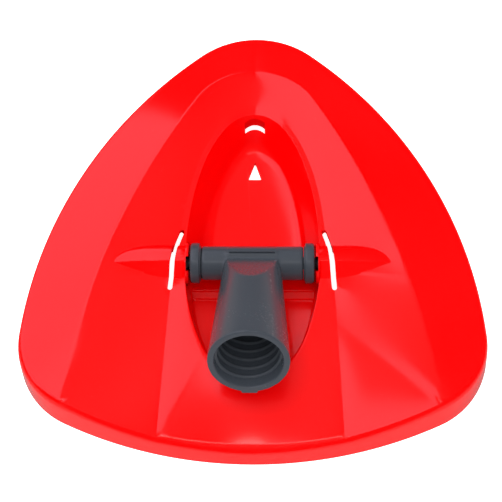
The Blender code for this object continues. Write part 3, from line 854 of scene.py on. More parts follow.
def windowTools():
    tools = [prism(slitOutline(side), *through) for side in (1, -1)]
    arc = []
    for k in range(17):
        share = -1 + k / 8
        arc.append((share * windows["arcWidth"] / 2,
                    pivot.y + windows["arcReach"] - windows["arcBow"] * share * share))
    arc += [(x, y - windows["arcHeight"]) for x, y in reversed(arc)]
    tools.append(prism(arc, *through))
    base = pivot.y + windows["arrowReach"]
    tip = base + windows["arrowLength"]
    half = windows["arrowWidth"] / 2
    ease = windows["cornerEase"]
    blunt = windows["pointHalf"]
    shoulder = tip - windows["pointDrop"]
    arrow = [(-half, base), (-half + ease, base - ease), (half - ease, base - ease), (half, base),
             (blunt, shoulder), (0, tip), (-blunt, shoulder)]
    return tools + [prism(arrow, *through)]


def screwHoles(depth, segments):
    holes = []
    for angle in screws["angles"]:
        x, y = ringPoint(angle, screws["inset"])
        hole = rod(screws["shankRadius"] + screws["gap"], 0, depth, segments=segments)
        holes.append(shifted(hole, x, y))
    return holes


def buildShell(material):
    shell = toObject("topShell", outerSolid(), material)
    carve(shell, together("ears", [earSolid(1), earSolid(-1)]), "UNION")
    print("shell skin", len(shell.data.polygons))

    inner = toObject("hollow", hollowSolid())
    deeper = [earSolid(side, ear["wall"], jaw["face"] + ear["wall"]) for side in (1, -1)]
    carve(inner, together("earHollows", deeper), "UNION")
    keepWalls(inner)
    carve(shell, inner)
    print("shell hollowed", len(shell.data.polygons))

    carve(shell, together("well", [wellSolid()]))
    cutJaws(shell)
    openings = windowTools() + screwHoles(refillFrame["high"] + screws["length"], 24)
    carve(shell, together("openings", openings))
    finishMesh(shell, 30)
    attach(shell, "head")
    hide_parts("top_shell")
    print("top shell", len(shell.data.polygons), "faces")


def buildRefillFrame(material):
    outer = refillFrame["insetOuter"]
    inner = refillFrame["insetInner"]
    low = refillFrame["low"]
    high = refillFrame["high"]
    ease = refillFrame["ease"]
    flat = refillFrame["stepEase"]
    middle = ((outer + inner) / 2, low)
    line = [middle, (outer, low), (outer, high), (outer + refillFrame["outerStep"], high),
            (inner - refillFrame["innerStep"], high), (inner, high), (inner, low), middle]
    shaped = eased(line, [0, ease, ease, flat, flat, ease, ease, 0], 4)[:-1]
    rings = []
    for k in range(refillFrame["rays"]):
        angle = math.radians(k)
        rings.append([(outlineAt(angle, inset) * math.cos(angle),
                       pivot.y + outlineAt(angle, inset) * math.sin(angle), z) for inset, z in shaped])
    ring = toObject("refillFrame", loft(rings, ringLoop=True), material)
    tall = 12
    tools = screwHoles(tall, 32)
    half = clips["stem"] / 2 + clips["gap"]
    side = clips["width"] / 2 + clips["gap"]
    for angle in clips["angles"]:
        tool = rotated(block(-half, half, -side, side, 0, tall), Matrix.Rotation(math.radians(angle), 3, "Z"))
        tools.append(shifted(tool, *ringPoint(angle, clips["inset"])))
    carve(ring, together("frameOpenings", tools))
    finishMesh(ring)
    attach(ring, "head")
    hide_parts("refill_frame")
    print("refill frame", len(ring.data.polygons), "faces")


# node groups for geometry
def newTree(name, inputs):
    tree = bpy.data.node_groups.new(name, "GeometryNodeTree")
    tree.interface.new_socket("Geometry", in_out="INPUT", socket_type="NodeSocketGeometry")
    for label, kind, value in inputs:
        socket = tree.interface.new_socket(label, in_out="INPUT", socket_type=kind)
        if value is not None:
            socket.default_value = value
    tree.interface.new_socket("Geometry", in_out="OUTPUT", socket_type="NodeSocketGeometry")
    return tree


def runTree(piece, name, tree, values):
    step = piece.modifiers.new(name, "NODES")
    step.node_group = tree
    for item in tree.interface.items_tree:
        if item.item_type == "SOCKET" and item.in_out == "INPUT" and item.name in values:
            step[item.identifier] = values[item.name]
    settle(piece)


def scatterTree():
    tree = newTree("placeOnPoints", (
        ("Part", "NodeSocketObject", None), ("Turn Spread", "NodeSocketFloat", 0.0),
        ("Seed", "NodeSocketInt", 1), ("Finish", "NodeSocketMaterial", None)))
    add = tree.nodes.new
    start = add("NodeGroupInput")
    end = add("NodeGroupOutput")
    info = add("GeometryNodeObjectInfo")
    place = add("GeometryNodeInstanceOnPoints")
    turn = add("GeometryNodeInputNamedAttribute")
    spread = add("FunctionNodeRandomValue")
    total = add("ShaderNodeMath")
    spin = add("ShaderNodeCombineXYZ")
    real = add("GeometryNodeRealizeInstances")
    paint = add("GeometryNodeSetMaterial")
    turn.data_type = "FLOAT"
    turn.inputs["Name"].default_value = "turn"
    link = tree.links.new
    link(start.outputs["Part"], info.inputs["Object"])
    link(start.outputs["Turn Spread"], spread.inputs[3])
    link(start.outputs["Seed"], spread.inputs["Seed"])
    link(turn.outputs["Attribute"], total.inputs[0])
    link(spread.outputs[1], total.inputs[1])
    link(total.outputs[0], spin.inputs["Z"])
    link(start.outputs["Geometry"], place.inputs["Points"])
    link(info.outputs["Geometry"], place.inputs["Instance"])
    link(spin.outputs[0], place.inputs["Rotation"])
    link(place.outputs["Instances"], real.inputs[0])
    link(real.outputs[0], paint.inputs["Geometry"])
    link(start.outputs["Finish"], paint.inputs["Material"])
    link(paint.outputs[0], end.inputs[0])
    return tree


def placedCopies(name, tree, source, spots, turns, spread, seed, material):
    mesh = bpy.data.meshes.new(name)
    mesh.from_pydata([Vector(spot) * mm for spot in spots], [], [])
    layer = mesh.attributes.new("turn", "FLOAT", "POINT")
    for k, value in enumerate(turns):
        layer.data[k].value = value
    piece = linked(name, mesh)
    runTree(piece, "place", tree, {"Part": source, "Turn Spread": spread, "Seed": seed, "Finish": material})
    bpy.data.objects.remove(source, do_unlink=True)
    if material.name not in [m.name for m in piece.data.materials if m]:
        piece.data.materials.append(material)
    finishMesh(piece, 35)
    return piece


def buildScrews(tree, material):
    top = refillFrame["low"] - screws["gap"]
    low = top - screws["headHeight"]
    wide = screws["headRadius"]
    shank = screws["shankRadius"]
    tip = screws["length"]
    line = [(0, low), (wide * 0.72, low), (wide * 0.95, low + 0.4), (wide, low + 0.9), (wide, top),
            (shank, top)]
    depth = screws["threadDepth"]
    for k in range(screws["turns"]):
        z = top + screws["threadStart"] + k * (tip - 2.2) / screws["turns"]
        line += [(shank - depth, z), (shank, z + depth), (shank - depth, z + 2 * depth)]
    line += [(screws["tipRadius"], top + tip - 0.1), (0, top + tip)]
    screw = toObject("screwShape", turned(line, segments=40))
    far = screws["crossHalf"]
    near = screws["crossWidth"] / 2
    for name, x, y in (("slotOne", far, near), ("slotTwo", near, far)):
        carve(screw, together(name, [block(-x, x, -y, y, low - 1, low + screws["crossDepth"])]))
    spots = [(*ringPoint(angle, screws["inset"]), 0.0) for angle in screws["angles"]]
    piece = placedCopies("frameScrews", tree, screw, spots, [0.0] * len(spots), screws["turnSpread"],
                         screws["seed"], material)
    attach(piece, "head")
    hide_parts(*["frame_screw_%d" % (k + 1) for k in range(len(spots))])
    print("screws", len(piece.data.polygons), "faces")


def buildClips(tree, material):
    c = clips
    top = refillFrame["high"] + c["gap"]
    cap = top + c["capHeight"]
    half = c["stem"] / 2
    barb = -half - c["barb"]
    foot = c["foot"]
    points = [(0, cap), (-c["capHalf"], cap), (-c["capHalf"], top), (-half, top), (-half, c["barbHigh"]),
              (barb, c["barbMid"]), (barb, c["barbLow"]), (-half + 0.4, foot), (half, foot), (half, top),
              (c["capHalf"], top), (c["capHalf"], cap), (0, cap)]
    line = eased(points, [0, 0.5, 0.3, 0.5, 0.4, 0.3, 0.3, 0.4, 0.5, 0.5, 0.3, 0.5, 0], 4)[:-1]
    data = prism(line, -c["width"] / 2, c["width"] / 2)
    clip = toObject("clipShape", rotated(data, Matrix.Rotation(math.pi / 2, 3, "X")))
    edge = clip.modifiers.new("ease", "BEVEL")
    edge.width = c["bevel"] * mm
    edge.segments = 2
    edge.angle_limit = math.radians(60)
    settle(clip)
    spots = [(*ringPoint(angle, c["inset"]), 0.0) for angle in c["angles"]]
    turns = [math.radians(angle) for angle in c["angles"]]
    piece = placedCopies("refillClips", tree, clip, spots, turns, 0.0, 1, material)
    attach(piece, "head")
    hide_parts("refill_clip_rear", "refill_clip_left", "refill_clip_right")
    print("clips", len(piece.data.polygons), "faces")


# the tilting T: local Z runs along the socket, local X along the crossbar
swivel = {
    "restTilt": 26.0,
    "barRadius": 7.1,
    "barHalf": 21.2,
    "length": 60.0,
    "rootRadius": 11.7,
    "mouthRadius": 16.35,
    "boreMouth": 13.55,
    "boreEnd": 11.4,
    "boreDepth": 32.0,
    "flatStart": (4.8, 6.2),  # along the socket, and out from its middle
    "flatEnd": (23.0, 13.3),
    "ribWidth": 6.4,
    "ribRise": 0.8,
    "axleRadius": 2.7,
    "axleReach": 29.2,
    "padHalf": 10.6,
    "padRise": 0.2,
    "padStart": -1.4,
    "grooveHalf": 9.6,
    "grooveWidth": 1.1,
    "grooveAt": 1.7,
    "grooveDepth": 0.9,
    "voxel": 0.32,  # the joints between bar and socket are melted together at this size
    "smoothings": 14,
    "root": -2.0,
    "rings": 12,
    "barEase": 0.5,
    "gap": 0.3,
    "mouthLip": 0.5,
    "padEase": 1.2,
    "padLength": 4.0,
    "axleEase": 0.8,
    "axleTip": 0.9,
    "axleGroove": 0.35,
    "ribLength": 5.0,
    "ribSink": 2,
}
collar = {
    "radius": 8.5,
    "width": 4.5,
    "gap": 0.15,
    "hub": 0.6,
    "hubRise": 0.1,
    "recessRadius": 2.2,
    "recessDepth": 0.4,
    "easings": (0, 0.15, 0.35, 1.3, 1.4, 0.3, 0.2, 0, 0),
    "segments": 120,
}
socketThread = {"pitch": 4.6, "radius": 0.95, "turns": 5.6, "start": 2.4, "sink": 0.1, "resolution": 72}
sideways = Matrix(((0, 0, 1), (1, 0, 0), (0, 1, 0)))  # lays a prism along the crossbar
stoodUp = Matrix(((1, 0, 0), (0, 0, 1), (0, 1, 0)))  # swaps a prism's depth and height
swivelPlace = Matrix.Translation(pivot * mm) @ Matrix.Rotation(math.radians(90 - swivel["restTilt"]), 4, "X")


def intoPlace(piece):
    piece.data.transform(swivelPlace)
    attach(piece, "swivel")


def rootFlat(flip):
    z0, y0 = swivel["flatStart"]
    z1, y1 = swivel["flatEnd"]
    slope = (y1 - y0) / (z1 - z0)
    line = [(-4.0, y0 - slope * (z0 + 4.0)), (z1 + 6.0, y1 + slope * 6.0), (z1 + 6.0, 40.0), (-4.0, 40.0)]
    return rotated(prism([(flip * y, z) for z, y in line], -20, 20), sideways)


def rootPad():
    half = swivel["padHalf"]
    ease = swivel["padEase"]
    long = swivel["padLength"]
    line = []
    for k in range(9):
        turn = math.pi / 2 * k / 8
        line.append((half - ease + ease * math.sin(turn), ease * (1 - math.cos(turn))))
    outline = line + [(half, long), (-half, long)] + [(-x, z) for x, z in reversed(line)]
    pad = rotated(prism(outline, 0.0, swivel["barRadius"] + swivel["padRise"]), stoodUp)
    return shifted(pad, 0, 0, swivel["padStart"])


def barrelShape():
    s = swivel
    spread = s["mouthRadius"] - s["rootRadius"]
    line = [(0, s["root"])]
    rings = s["rings"]
    for k in range(rings + 1):
        line.append((s["rootRadius"] + spread * k / rings, s["root"] + (s["length"] - s["root"]) * k / rings))
    barrel = toObject("barrel", turned(line + [(0, s["length"])], segments=120))
    for flip in (1, -1):
        carve(barrel, together("flats", [rootFlat(flip)]))
    carve(barrel, together("behind", [block(-20, 20, -20, 20, -10, 0)]))
    return barrel


def socketBore():
    top = swivel["length"]
    low = top - swivel["boreDepth"]
    end = swivel["boreEnd"]
    wide = swivel["boreMouth"]
    lip = wide + swivel["mouthLip"]
    line = [(0, low), (end - 1.0, low), (end, low + 1.0), (wide, top - 0.7), (wide + 0.1, top - 0.35),
            (wide + 0.35, top - 0.08), (lip, top + 0.1), (lip, top + 3), (0, top + 3)]
    return turned(line, segments=128)


def barGroove():
    half = swivel["grooveWidth"] / 2
    reach = swivel["grooveHalf"] - half
    ends = []
    for side in (-1, 1):
        for j in range(11):
            turn = math.pi * (j / 10 - 0.5)
            ends.append((side * (reach + half * math.cos(turn)), side * half * math.sin(turn)))
    bottom = swivel["barRadius"] + swivel["padRise"] - swivel["grooveDepth"]
    return shifted(rotated(prism(ends, bottom, 20), stoodUp), 0, 0, swivel["grooveAt"])


def buildTee(material):
    s = swivel
    barrel = barrelShape()
    end = s["barHalf"]
    wide = s["barRadius"]
    ease = s["barEase"]
    line = [(0, -end), (wide - ease, -end), (wide, -end + ease), (wide, end - ease), (wide - ease, end),
            (0, end)]
    tee = toObject("swivelTee", turned(line, "X", 120), material)
    carve(tee, barrel, "UNION")
    carve(tee, together("rootPad", [rootPad()]), "UNION")
    half = s["ribWidth"] / 2
    rib = block(-half, half, -s["mouthRadius"] - s["ribRise"], -s["mouthRadius"] + s["ribSink"],
                s["length"] - s["ribLength"], s["length"])
    carve(tee, together("rib", [rib]), "UNION")
    voxels = tee.modifiers.new("voxels", "REMESH")
    voxels.mode = "VOXEL"
    voxels.voxel_size = s["voxel"] * mm
    voxels.use_smooth_shade = True
    settle(tee)
    ironed = tee.modifiers.new("ironed", "SMOOTH")
    ironed.factor = 0.5
    ironed.iterations = s["smoothings"]
    settle(tee)
    print("tee skin", len(tee.data.polygons))

    carve(tee, together("bore", [socketBore()]))
    reach = s["barHalf"] + 1
    carve(tee, together("axleBore", [rod(s["axleRadius"] + s["gap"], -reach, reach, "X", 48)]))
    carve(tee, together("groove", [barGroove()]))
    finishMesh(tee, 34)
    tee.data.materials.clear()
    tee.data.materials.append(material)
    intoPlace(tee)
    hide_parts("swivel_tee")
    print("tee", len(tee.data.polygons), "faces")


def threadTree():
    tree = newTree("taperThread", (
        ("Turns", "NodeSocketFloat", 5.0), ("Start Radius", "NodeSocketFloat", 0.011),
        ("End Radius", "NodeSocketFloat", 0.013), ("Height", "NodeSocketFloat", 0.026),
        ("Ridge Radius", "NodeSocketFloat", 0.0009), ("Steps", "NodeSocketInt", 64),
        ("Finish", "NodeSocketMaterial", None)))
    add = tree.nodes.new
    start = add("NodeGroupInput")
    end = add("NodeGroupOutput")
    spiral = add("GeometryNodeCurveSpiral")
    upright = add("GeometryNodeSetCurveNormal")
    profile = add("GeometryNodeCurvePrimitiveCircle")
    sweep = add("GeometryNodeCurveToMesh")
    real = add("GeometryNodeRealizeInstances")
    paint = add("GeometryNodeSetMaterial")
    upright.mode = "Z_UP"
    profile.inputs["Resolution"].default_value = 12
    sweep.inputs["Fill Caps"].default_value = True
    link = tree.links.new
    link(start.outputs["Turns"], spiral.inputs["Rotations"])
    link(start.outputs["Start Radius"], spiral.inputs["Start Radius"])
    link(start.outputs["End Radius"], spiral.inputs["End Radius"])
    link(start.outputs["Height"], spiral.inputs["Height"])
    link(start.outputs["Steps"], spiral.inputs["Resolution"])
    link(start.outputs["Ridge Radius"], profile.inputs["Radius"])
    link(spiral.outputs[0], upright.inputs[0])
    link(upright.outputs[0], sweep.inputs["Curve"])
    link(profile.outputs[0], sweep.inputs["Profile Curve"])
    link(sweep.outputs[0], real.inputs[0])
    link(real.outputs[0], paint.inputs["Geometry"])
    link(start.outputs["Finish"], paint.inputs["Material"])
    link(paint.outputs[0], end.inputs[0])
    return tree


def buildThread(material):
    t = socketThread
    low = swivel["length"] - swivel["boreDepth"] + t["start"]
    height = t["pitch"] * t["turns"]
    taper = (swivel["boreMouth"] - swivel["boreEnd"]) / swivel["boreDepth"]
    startRadius = swivel["boreEnd"] + taper * t["start"] + t["sink"]
    thread = linked("socketThread", bpy.data.meshes.new("socketThread"))
    runTree(thread, "thread", threadTree(), {
        "Turns": t["turns"],
        "Start Radius": startRadius * mm,
        "End Radius": (startRadius + taper * height) * mm,
        "Height": height * mm,
        "Ridge Radius": t["radius"] * mm,
        "Steps": t["resolution"],
        "Finish": material,
    })
    thread.data.transform(Matrix.Translation((0, 0, low * mm)))
    if not thread.data.materials:
        thread.data.materials.append(material)
    finishMesh(thread, 60)
    intoPlace(thread)
    print("thread", len(thread.data.polygons), "faces")


def buildCollars(material):
    c = collar
    for side, tag in ((1, "Right"), (-1, "Left")):
        x0 = swivel["barHalf"] + c["gap"]
        x1 = x0 + c["width"]
        bore = swivel["axleRadius"] + swivel["gap"]
        hub = swivel["barRadius"] + c["hubRise"]
        deep = c["recessDepth"]
        mouth = bore + c["recessRadius"]
        points = [(bore, x0), (hub, x0), (hub, x0 + c["hub"]), (c["radius"], x0 + c["hub"]),
                  (c["radius"], x1), (mouth, x1), (mouth - deep, x1 - deep), (bore, x1 - deep)]
        line = eased(points + [points[0]], c["easings"], 6)[:-1]
        rings = []
        for k in range(c["segments"]):
            turn = math.tau * k / c["segments"]
            rings.append([(side * x, r * math.cos(turn), r * math.sin(turn)) for r, x in line])
        piece = toObject("pivotCollar" + tag, loft(rings, ringLoop=True), material)
        finishMesh(piece, 40)
        intoPlace(piece)
        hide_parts("pivot_collar_" + tag.lower())
        print("collar", tag.lower(), len(piece.data.polygons), "faces")


def buildAxle(material):
    wide = swivel["axleRadius"]
    reach = swivel["axleReach"]
    waist = wide - swivel["axleGroove"]
    part = [(0, reach), (wide - swivel["axleTip"], reach), (wide, reach - swivel["axleEase"]),
            (wide, reach - 2.2), (waist, reach - 2.5), (waist, reach - 3.1), (wide, reach - 3.4)]
    line = [(radius, -along) for radius, along in part] + part[::-1]
    piece = toObject("pivotAxle", turned(line, "X", 64), material)
    finishMesh(piece, 34)
    intoPlace(piece)
    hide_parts("pivot_axle")
    print("axle", len(piece.data.polygons), "faces")


# shader groups shared by the plastics
def shaderGroup(name, inputs, outputs):
    tree = bpy.data.node_groups.new(name, "ShaderNodeTree")
    for label, value in inputs.items():
        socket = tree.interface.new_socket(label, in_out="INPUT", socket_type="NodeSocketFloat")
        socket.default_value = value
    for label in outputs:
        tree.interface.new_socket(label, in_out="OUTPUT", socket_type="NodeSocketFloat")
    return tree, tree.nodes.new("NodeGroupInput"), tree.nodes.new("NodeGroupOutput")


def mouldGrainGroup():
    scales = {"Grain Scale": 900.0, "Flow Scale": 18.0, "Flow Share": 0.4}
    tree, start, end = shaderGroup("mouldGrain", scales, ("Height", "Mottle"))
    place = tree.nodes.new("ShaderNodeTexCoord")
    fine = tree.nodes.new("ShaderNodeTexNoise")
    flow = tree.nodes.new("ShaderNodeTexNoise")
    fine.inputs["Detail"].default_value = 3.0
    flow.inputs["Detail"].default_value = 2.0
    flow.inputs["Distortion"].default_value = 0.6
    blend = tree.nodes.new("ShaderNodeMix")
    blend.data_type = "FLOAT"
    link = tree.links.new
    link(place.outputs["Object"], fine.inputs["Vector"])
    link(place.outputs["Object"], flow.inputs["Vector"])
    link(start.outputs["Grain Scale"], fine.inputs["Scale"])
    link(start.outputs["Flow Scale"], flow.inputs["Scale"])
    link(start.outputs["Flow Share"], blend.inputs[0])
    link(fine.outputs[0], blend.inputs[2])
    link(flow.outputs[0], blend.inputs[3])
    link(fine.outputs[0], end.inputs["Height"])
    link(blend.outputs[0], end.inputs["Mottle"])
    return tree


def edgeWearGroup():
    tree, start, end = shaderGroup("edgeWear", {"Low": 0.52, "High": 0.62, "Break Scale": 260.0}, ("Mask",))
    shape = tree.nodes.new("ShaderNodeNewGeometry")
    place = tree.nodes.new("ShaderNodeTexCoord")
    spots = tree.nodes.new("ShaderNodeTexNoise")
    band = tree.nodes.new("ShaderNodeMapRange")
    worn = tree.nodes.new("ShaderNodeMath")
    worn.operation = "MULTIPLY"
    link = tree.links.new
    link(shape.outputs["Pointiness"], band.inputs["Value"])
    link(start.outputs["Low"], band.inputs["From Min"])
    link(start.outputs["High"], band.inputs["From Max"])
    link(place.outputs["Object"], spots.inputs["Vector"])
    link(start.outputs["Break Scale"], spots.inputs["Scale"])
    link(band.outputs[0], worn.inputs[0])
    link(spots.outputs[0], worn.inputs[1])
    link(worn.outputs[0], end.inputs["Mask"])
    return tree


def dustGroup():
    values = {"Amount": 0.2, "Speck Scale": 700.0, "Threshold": 0.66}
    tree, start, end = shaderGroup("settledDust", values, ("Mask",))
    shape = tree.nodes.new("ShaderNodeNewGeometry")
    place = tree.nodes.new("ShaderNodeTexCoord")
    split = tree.nodes.new("ShaderNodeSeparateXYZ")
    specks = tree.nodes.new("ShaderNodeTexNoise")
    specks.inputs["Detail"].default_value = 4.0
    gate = tree.nodes.new("ShaderNodeMapRange")
    gate.inputs["To Max"].default_value = 1.0
    upward = tree.nodes.new("ShaderNodeMath")
    upward.operation = "MULTIPLY"
    scaled = tree.nodes.new("ShaderNodeMath")
    scaled.operation = "MULTIPLY"
    scaled.use_clamp = True
    more = tree.nodes.new("ShaderNodeMath")
    more.inputs[1].default_value = 0.1
    link = tree.links.new
    link(shape.outputs["Normal"], split.inputs[0])
    link(place.outputs["Object"], specks.inputs["Vector"])
    link(start.outputs["Speck Scale"], specks.inputs["Scale"])
    link(specks.outputs[0], gate.inputs["Value"])
    link(start.outputs["Threshold"], gate.inputs["From Min"])
    link(start.outputs["Threshold"], more.inputs[0])
    link(more.outputs[0], gate.inputs["From Max"])
    link(gate.outputs[0], upward.inputs[0])
    link(split.outputs["Z"], upward.inputs[1])
    link(upward.outputs[0], scaled.inputs[0])
    link(start.outputs["Amount"], scaled.inputs[1])
    link(scaled.outputs[0], end.inputs["Mask"])
    return tree


grain = mouldGrainGroup()
wear = edgeWearGroup()
dust = dustGroup()


def groupNode(tree, group, values):
    node = tree.nodes.new("ShaderNodeGroup")
    node.node_tree = group
    for label, value in values.items():
        node.inputs[label].default_value = value
    return node


def overlaid(tree, share, under, colour):  # colour over what is under it, by the share
    mix = tree.nodes.new("ShaderNodeMix")
    mix.data_type = "RGBA"
    tree.links.new(share, mix.inputs[0])
    if isinstance(under, tuple):
        mix.inputs[6].default_value = (*under, 1)
    else:
        tree.links.new(under, mix.inputs[6])
    mix.inputs[7].default_value = (*colour, 1)
    return mix.outputs[2]


def plastic(name, look):
    material = bpy.data.materials.new(name)
    material.use_nodes = True
    tree = material.node_tree
    shader = tree.nodes["Principled BSDF"]
    shader.inputs["Metallic"].default_value = look.get("metallic", 0.0)
    shader.inputs["IOR"].default_value = 1.49
    shader.inputs["Specular IOR Level"].default_value = look.get("specular", 0.5)
    grainNode = groupNode(tree, grain, {"Grain Scale": look["grainScale"], "Flow Scale": look["flowScale"],
                                        "Flow Share": look["flowShare"]})
    wearNode = groupNode(tree, wear, {})
    dustNode = groupNode(tree, dust, {"Amount": look["dust"]})
    rough = tree.nodes.new("ShaderNodeMapRange")
    rough.inputs["From Min"].default_value = 0.3
    rough.inputs["From Max"].default_value = 0.7
    rough.inputs["To Min"].default_value = look["roughness"][0]
    rough.inputs["To Max"].default_value = look["roughness"][1]
    bump = tree.nodes.new("ShaderNodeBump")
    bump.inputs["Strength"].default_value = look["bump"]
    bump.inputs["Distance"].default_value = look["bumpDepth"]
    tone = overlaid(tree, grainNode.outputs["Mottle"], look["dark"], look["light"])
    edged = overlaid(tree, wearNode.outputs["Mask"], tone, look["edge"])
    dusty = overlaid(tree, dustNode.outputs["Mask"], edged, look["dustColour"])
    link = tree.links.new
    link(dusty, shader.inputs["Base Color"])
    link(grainNode.outputs["Mottle"], rough.inputs["Value"])
    link(rough.outputs[0], shader.inputs["Roughness"])
    link(grainNode.outputs["Height"], bump.inputs["Height"])
    link(bump.outputs[0], shader.inputs["Normal"])
    return material


glossRed = plastic("glossRed", {
    "dark": (0.95, 0.0, 0.0), "light": (1.0, 0.0, 0.001),
    "edge": (1.0, 0.01, 0.012), "dustColour": (0.95, 0.3, 0.28), "dust": 0.015,
    "roughness": (0.1, 0.14), "bump": 0.12, "bumpDepth": 0.00002,
    "grainScale": 520.0, "flowScale": 14.0, "flowShare": 0.75,
})
satinRed = plastic("satinRed", {
    "dark": (0.55, 0.0, 0.003), "light": (0.66, 0.004, 0.008),
    "edge": (0.85, 0.03, 0.03), "dustColour": (0.7, 0.4, 0.38), "dust": 0.1,
    "roughness": (0.36, 0.46), "bump": 0.35, "bumpDepth": 0.00005,
    "grainScale": 1100.0, "flowScale": 20.0, "flowShare": 0.5,
})
slateGrey = plastic("slateGrey", {
    "dark": (0.044, 0.051, 0.064), "light": (0.058, 0.067, 0.082),
    "edge": (0.12, 0.13, 0.145), "dustColour": (0.4, 0.4, 0.4), "dust": 0.03,
    "roughness": (0.22, 0.28), "bump": 0.12, "bumpDepth": 0.00002,
    "grainScale": 1300.0, "flowScale": 30.0, "flowShare": 0.5, "specular": 0.36,
})
darkPin = plastic("darkPin", {
    "dark": (0.018, 0.019, 0.024), "light": (0.03, 0.032, 0.038),
    "edge": (0.1, 0.1, 0.11), "dustColour": (0.3, 0.3, 0.3), "dust": 0.03,
    "roughness": (0.28, 0.36), "bump": 0.2, "bumpDepth": 0.00003,
    "grainScale": 1500.0, "flowScale": 60.0, "flowShare": 0.4,
})
naturalClip = plastic("naturalClip", {
    "dark": (0.66, 0.67, 0.66), "light": (0.78, 0.78, 0.76),
    "edge": (0.88, 0.88, 0.87), "dustColour": (0.6, 0.58, 0.55), "dust": 0.1,
    "roughness": (0.38, 0.48), "bump": 0.3, "bumpDepth": 0.00003,
    "grainScale": 1200.0, "flowScale": 60.0, "flowShare": 0.4,
})
zincSteel = plastic("zincSteel", {
    "dark": (0.5, 0.51, 0.52), "light": (0.68, 0.69, 0.7),
    "edge": (0.85, 0.85, 0.86), "dustColour": (0.3, 0.29, 0.27), "dust": 0.1,
    "roughness": (0.24, 0.38), "bump": 0.3, "bumpDepth": 0.00003,
    "grainScale": 2400.0, "flowScale": 200.0, "flowShare": 0.3, "metallic": 1.0,
})
print("materials ready")

buildShell(glossRed)
buildRefillFrame(satinRed)
copies = scatterTree()
buildScrews(copies, zincSteel)
buildClips(copies, naturalClip)
buildTee(slateGrey)
buildThread(slateGrey)
buildCollars(slateGrey)
buildAxle(darkPin)


# floor, light and camera
studio = {
    "floorSeen": 1.0,
    "floorGlow": 0.42,
    "floorGloss": 0.0,
    "floorTone": 0.9,
    "floorGlossTone": 0.36,
    "floorHalf": 3.0,
    "floorDrop": 0.0002,
    "skyDiffuse": 0.86,
    "skyGloss": 0.004,
    "cardLeft": -9.0,
    "cardRight": -0.34,
    "cardFront": -0.75,
    "cardRear": 7.2,
    "cardHeight": 3.0,
    "cardGlow": 1.265,
    "cardColour": (0.84, 0.82, 1.0),
    "strip": (2.4, 0.07),
    "stripDrop": 0.01,
    "stripGlow": 9.0,
    "lamps": (  # place, side and power of each lamp that only gives diffuse light
        ("overhead", (-0.2, 0.25, 1.2), 0.9, 6.0),
        ("frontFill", (0.05, -0.45, 1.1), 0.5, 2.2),
    ),
}


def byRay(tree, ray, seen, otherwise):  # one value for one kind of ray, another for the rest
    path = tree.nodes.new("ShaderNodeLightPath")
    level = tree.nodes.new("ShaderNodeMapRange")
    level.inputs["To Max"].default_value = seen
    tree.links.new(path.outputs[ray], level.inputs["Value"])
    if isinstance(otherwise, float):
        level.inputs["To Min"].default_value = otherwise
    else:
        tree.links.new(otherwise, level.inputs["To Min"])
    return level.outputs[0]


def buildFloor():
    material = bpy.data.materials.new("paleFloor")
    material.use_nodes = True
    tree = material.node_tree
    shader = tree.nodes["Principled BSDF"]
    shader.inputs["Roughness"].default_value = 0.8
    shader.inputs["Specular IOR Level"].default_value = 0.1
    shader.inputs["Emission Color"].default_value = (1, 1, 1, 1)
    unseen = byRay(tree, "Is Glossy Ray", studio["floorGloss"], studio["floorGlow"])
    glow = byRay(tree, "Is Camera Ray", studio["floorSeen"], unseen)
    tree.links.new(glow, shader.inputs["Emission Strength"])
    tone = byRay(tree, "Is Glossy Ray", studio["floorGlossTone"], studio["floorTone"])
    tree.links.new(tone, shader.inputs["Base Color"])
    data = bmesh.new()
    bmesh.ops.create_grid(data, x_segments=1, y_segments=1, size=studio["floorHalf"])
    floor = toObject("floor", data, material)
    for corner in floor.data.vertices:
        corner.co.z = -studio["floorDrop"]
    if floor.data.polygons[0].normal.z < 0:
        floor.data.flip_normals()


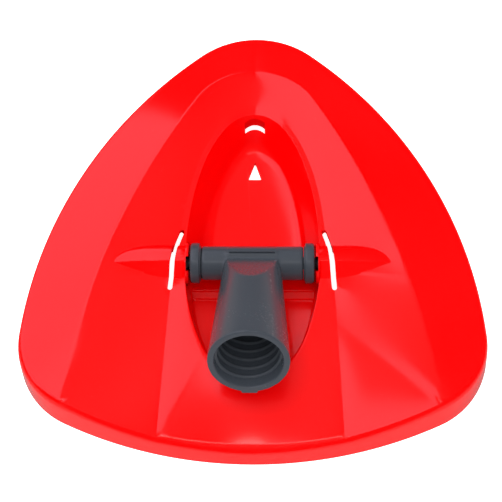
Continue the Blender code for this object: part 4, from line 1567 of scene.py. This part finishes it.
def buildWorld():
    world = bpy.data.worlds.new("studio")
    bpy.context.scene.world = world
    world.use_nodes = True
    tree = world.node_tree
    sky = tree.nodes["Background"]
    sky.inputs["Color"].default_value = (1, 1, 1, 1)
    strength = byRay(tree, "Is Glossy Ray", studio["skyGloss"], studio["skyDiffuse"])
    tree.links.new(strength, sky.inputs["Strength"])


def softbox(name, place, aim, size, power, colour=(1, 1, 1), glossy=True, diffuse=True):
    lamp = bpy.data.lights.new(name, "AREA")
    lamp.shape = "RECTANGLE"
    lamp.size, lamp.size_y = size
    lamp.energy = power
    lamp.color = colour
    piece = linked(name, lamp)
    piece.location = place
    piece.rotation_euler = (Vector(aim) - Vector(place)).to_track_quat("-Z", "Y").to_euler()
    piece.visible_glossy = glossy
    piece.visible_diffuse = diffuse


def buildLights():
    height = studio["cardHeight"]
    front = studio["cardFront"]
    wide = studio["cardRight"] - studio["cardLeft"]
    deep = studio["cardRear"] - front
    middle = ((studio["cardRight"] + studio["cardLeft"]) / 2, (studio["cardRear"] + front) / 2)
    softbox("skyCard", (*middle, height), (*middle, 0), (wide, deep),
            studio["cardGlow"] * math.pi * wide * deep, studio["cardColour"], diffuse=False)
    strip = studio["strip"]
    softbox("frontStrip", (0, front, height - studio["stripDrop"]), (0, front, 0), strip,
            studio["stripGlow"] * math.pi * strip[0] * strip[1], diffuse=False)
    for name, place, side, power in studio["lamps"]:
        softbox(name, place, (0, 0, 0), (side, side), power, glossy=False)


camera = {
    "place": (0.0212, -0.2957, 0.6449),
    "aim": (-0.0014, -0.0015, 0.0),
    "roll": -3.9,
    "lens": 117.5,
    "sensor": 36.0,
    "near": 0.01,
}


def buildCamera():
    lens = bpy.data.cameras.new("camera")
    lens.lens = camera["lens"]
    lens.sensor_width = camera["sensor"]
    lens.clip_start = camera["near"]
    place = Vector(camera["place"])
    look = (Vector(camera["aim"]) - place).to_track_quat("-Z", "Y").to_matrix().to_4x4()
    piece = linked("camera", lens)
    piece.matrix_world = (Matrix.Translation(place) @ look
                          @ Matrix.Rotation(math.radians(camera["roll"]), 4, "Z"))
    bpy.context.scene.camera = piece


buildFloor()
buildWorld()
buildLights()
buildCamera()
bpy.context.scene.view_settings.view_transform = "Standard"
print("stage ready")
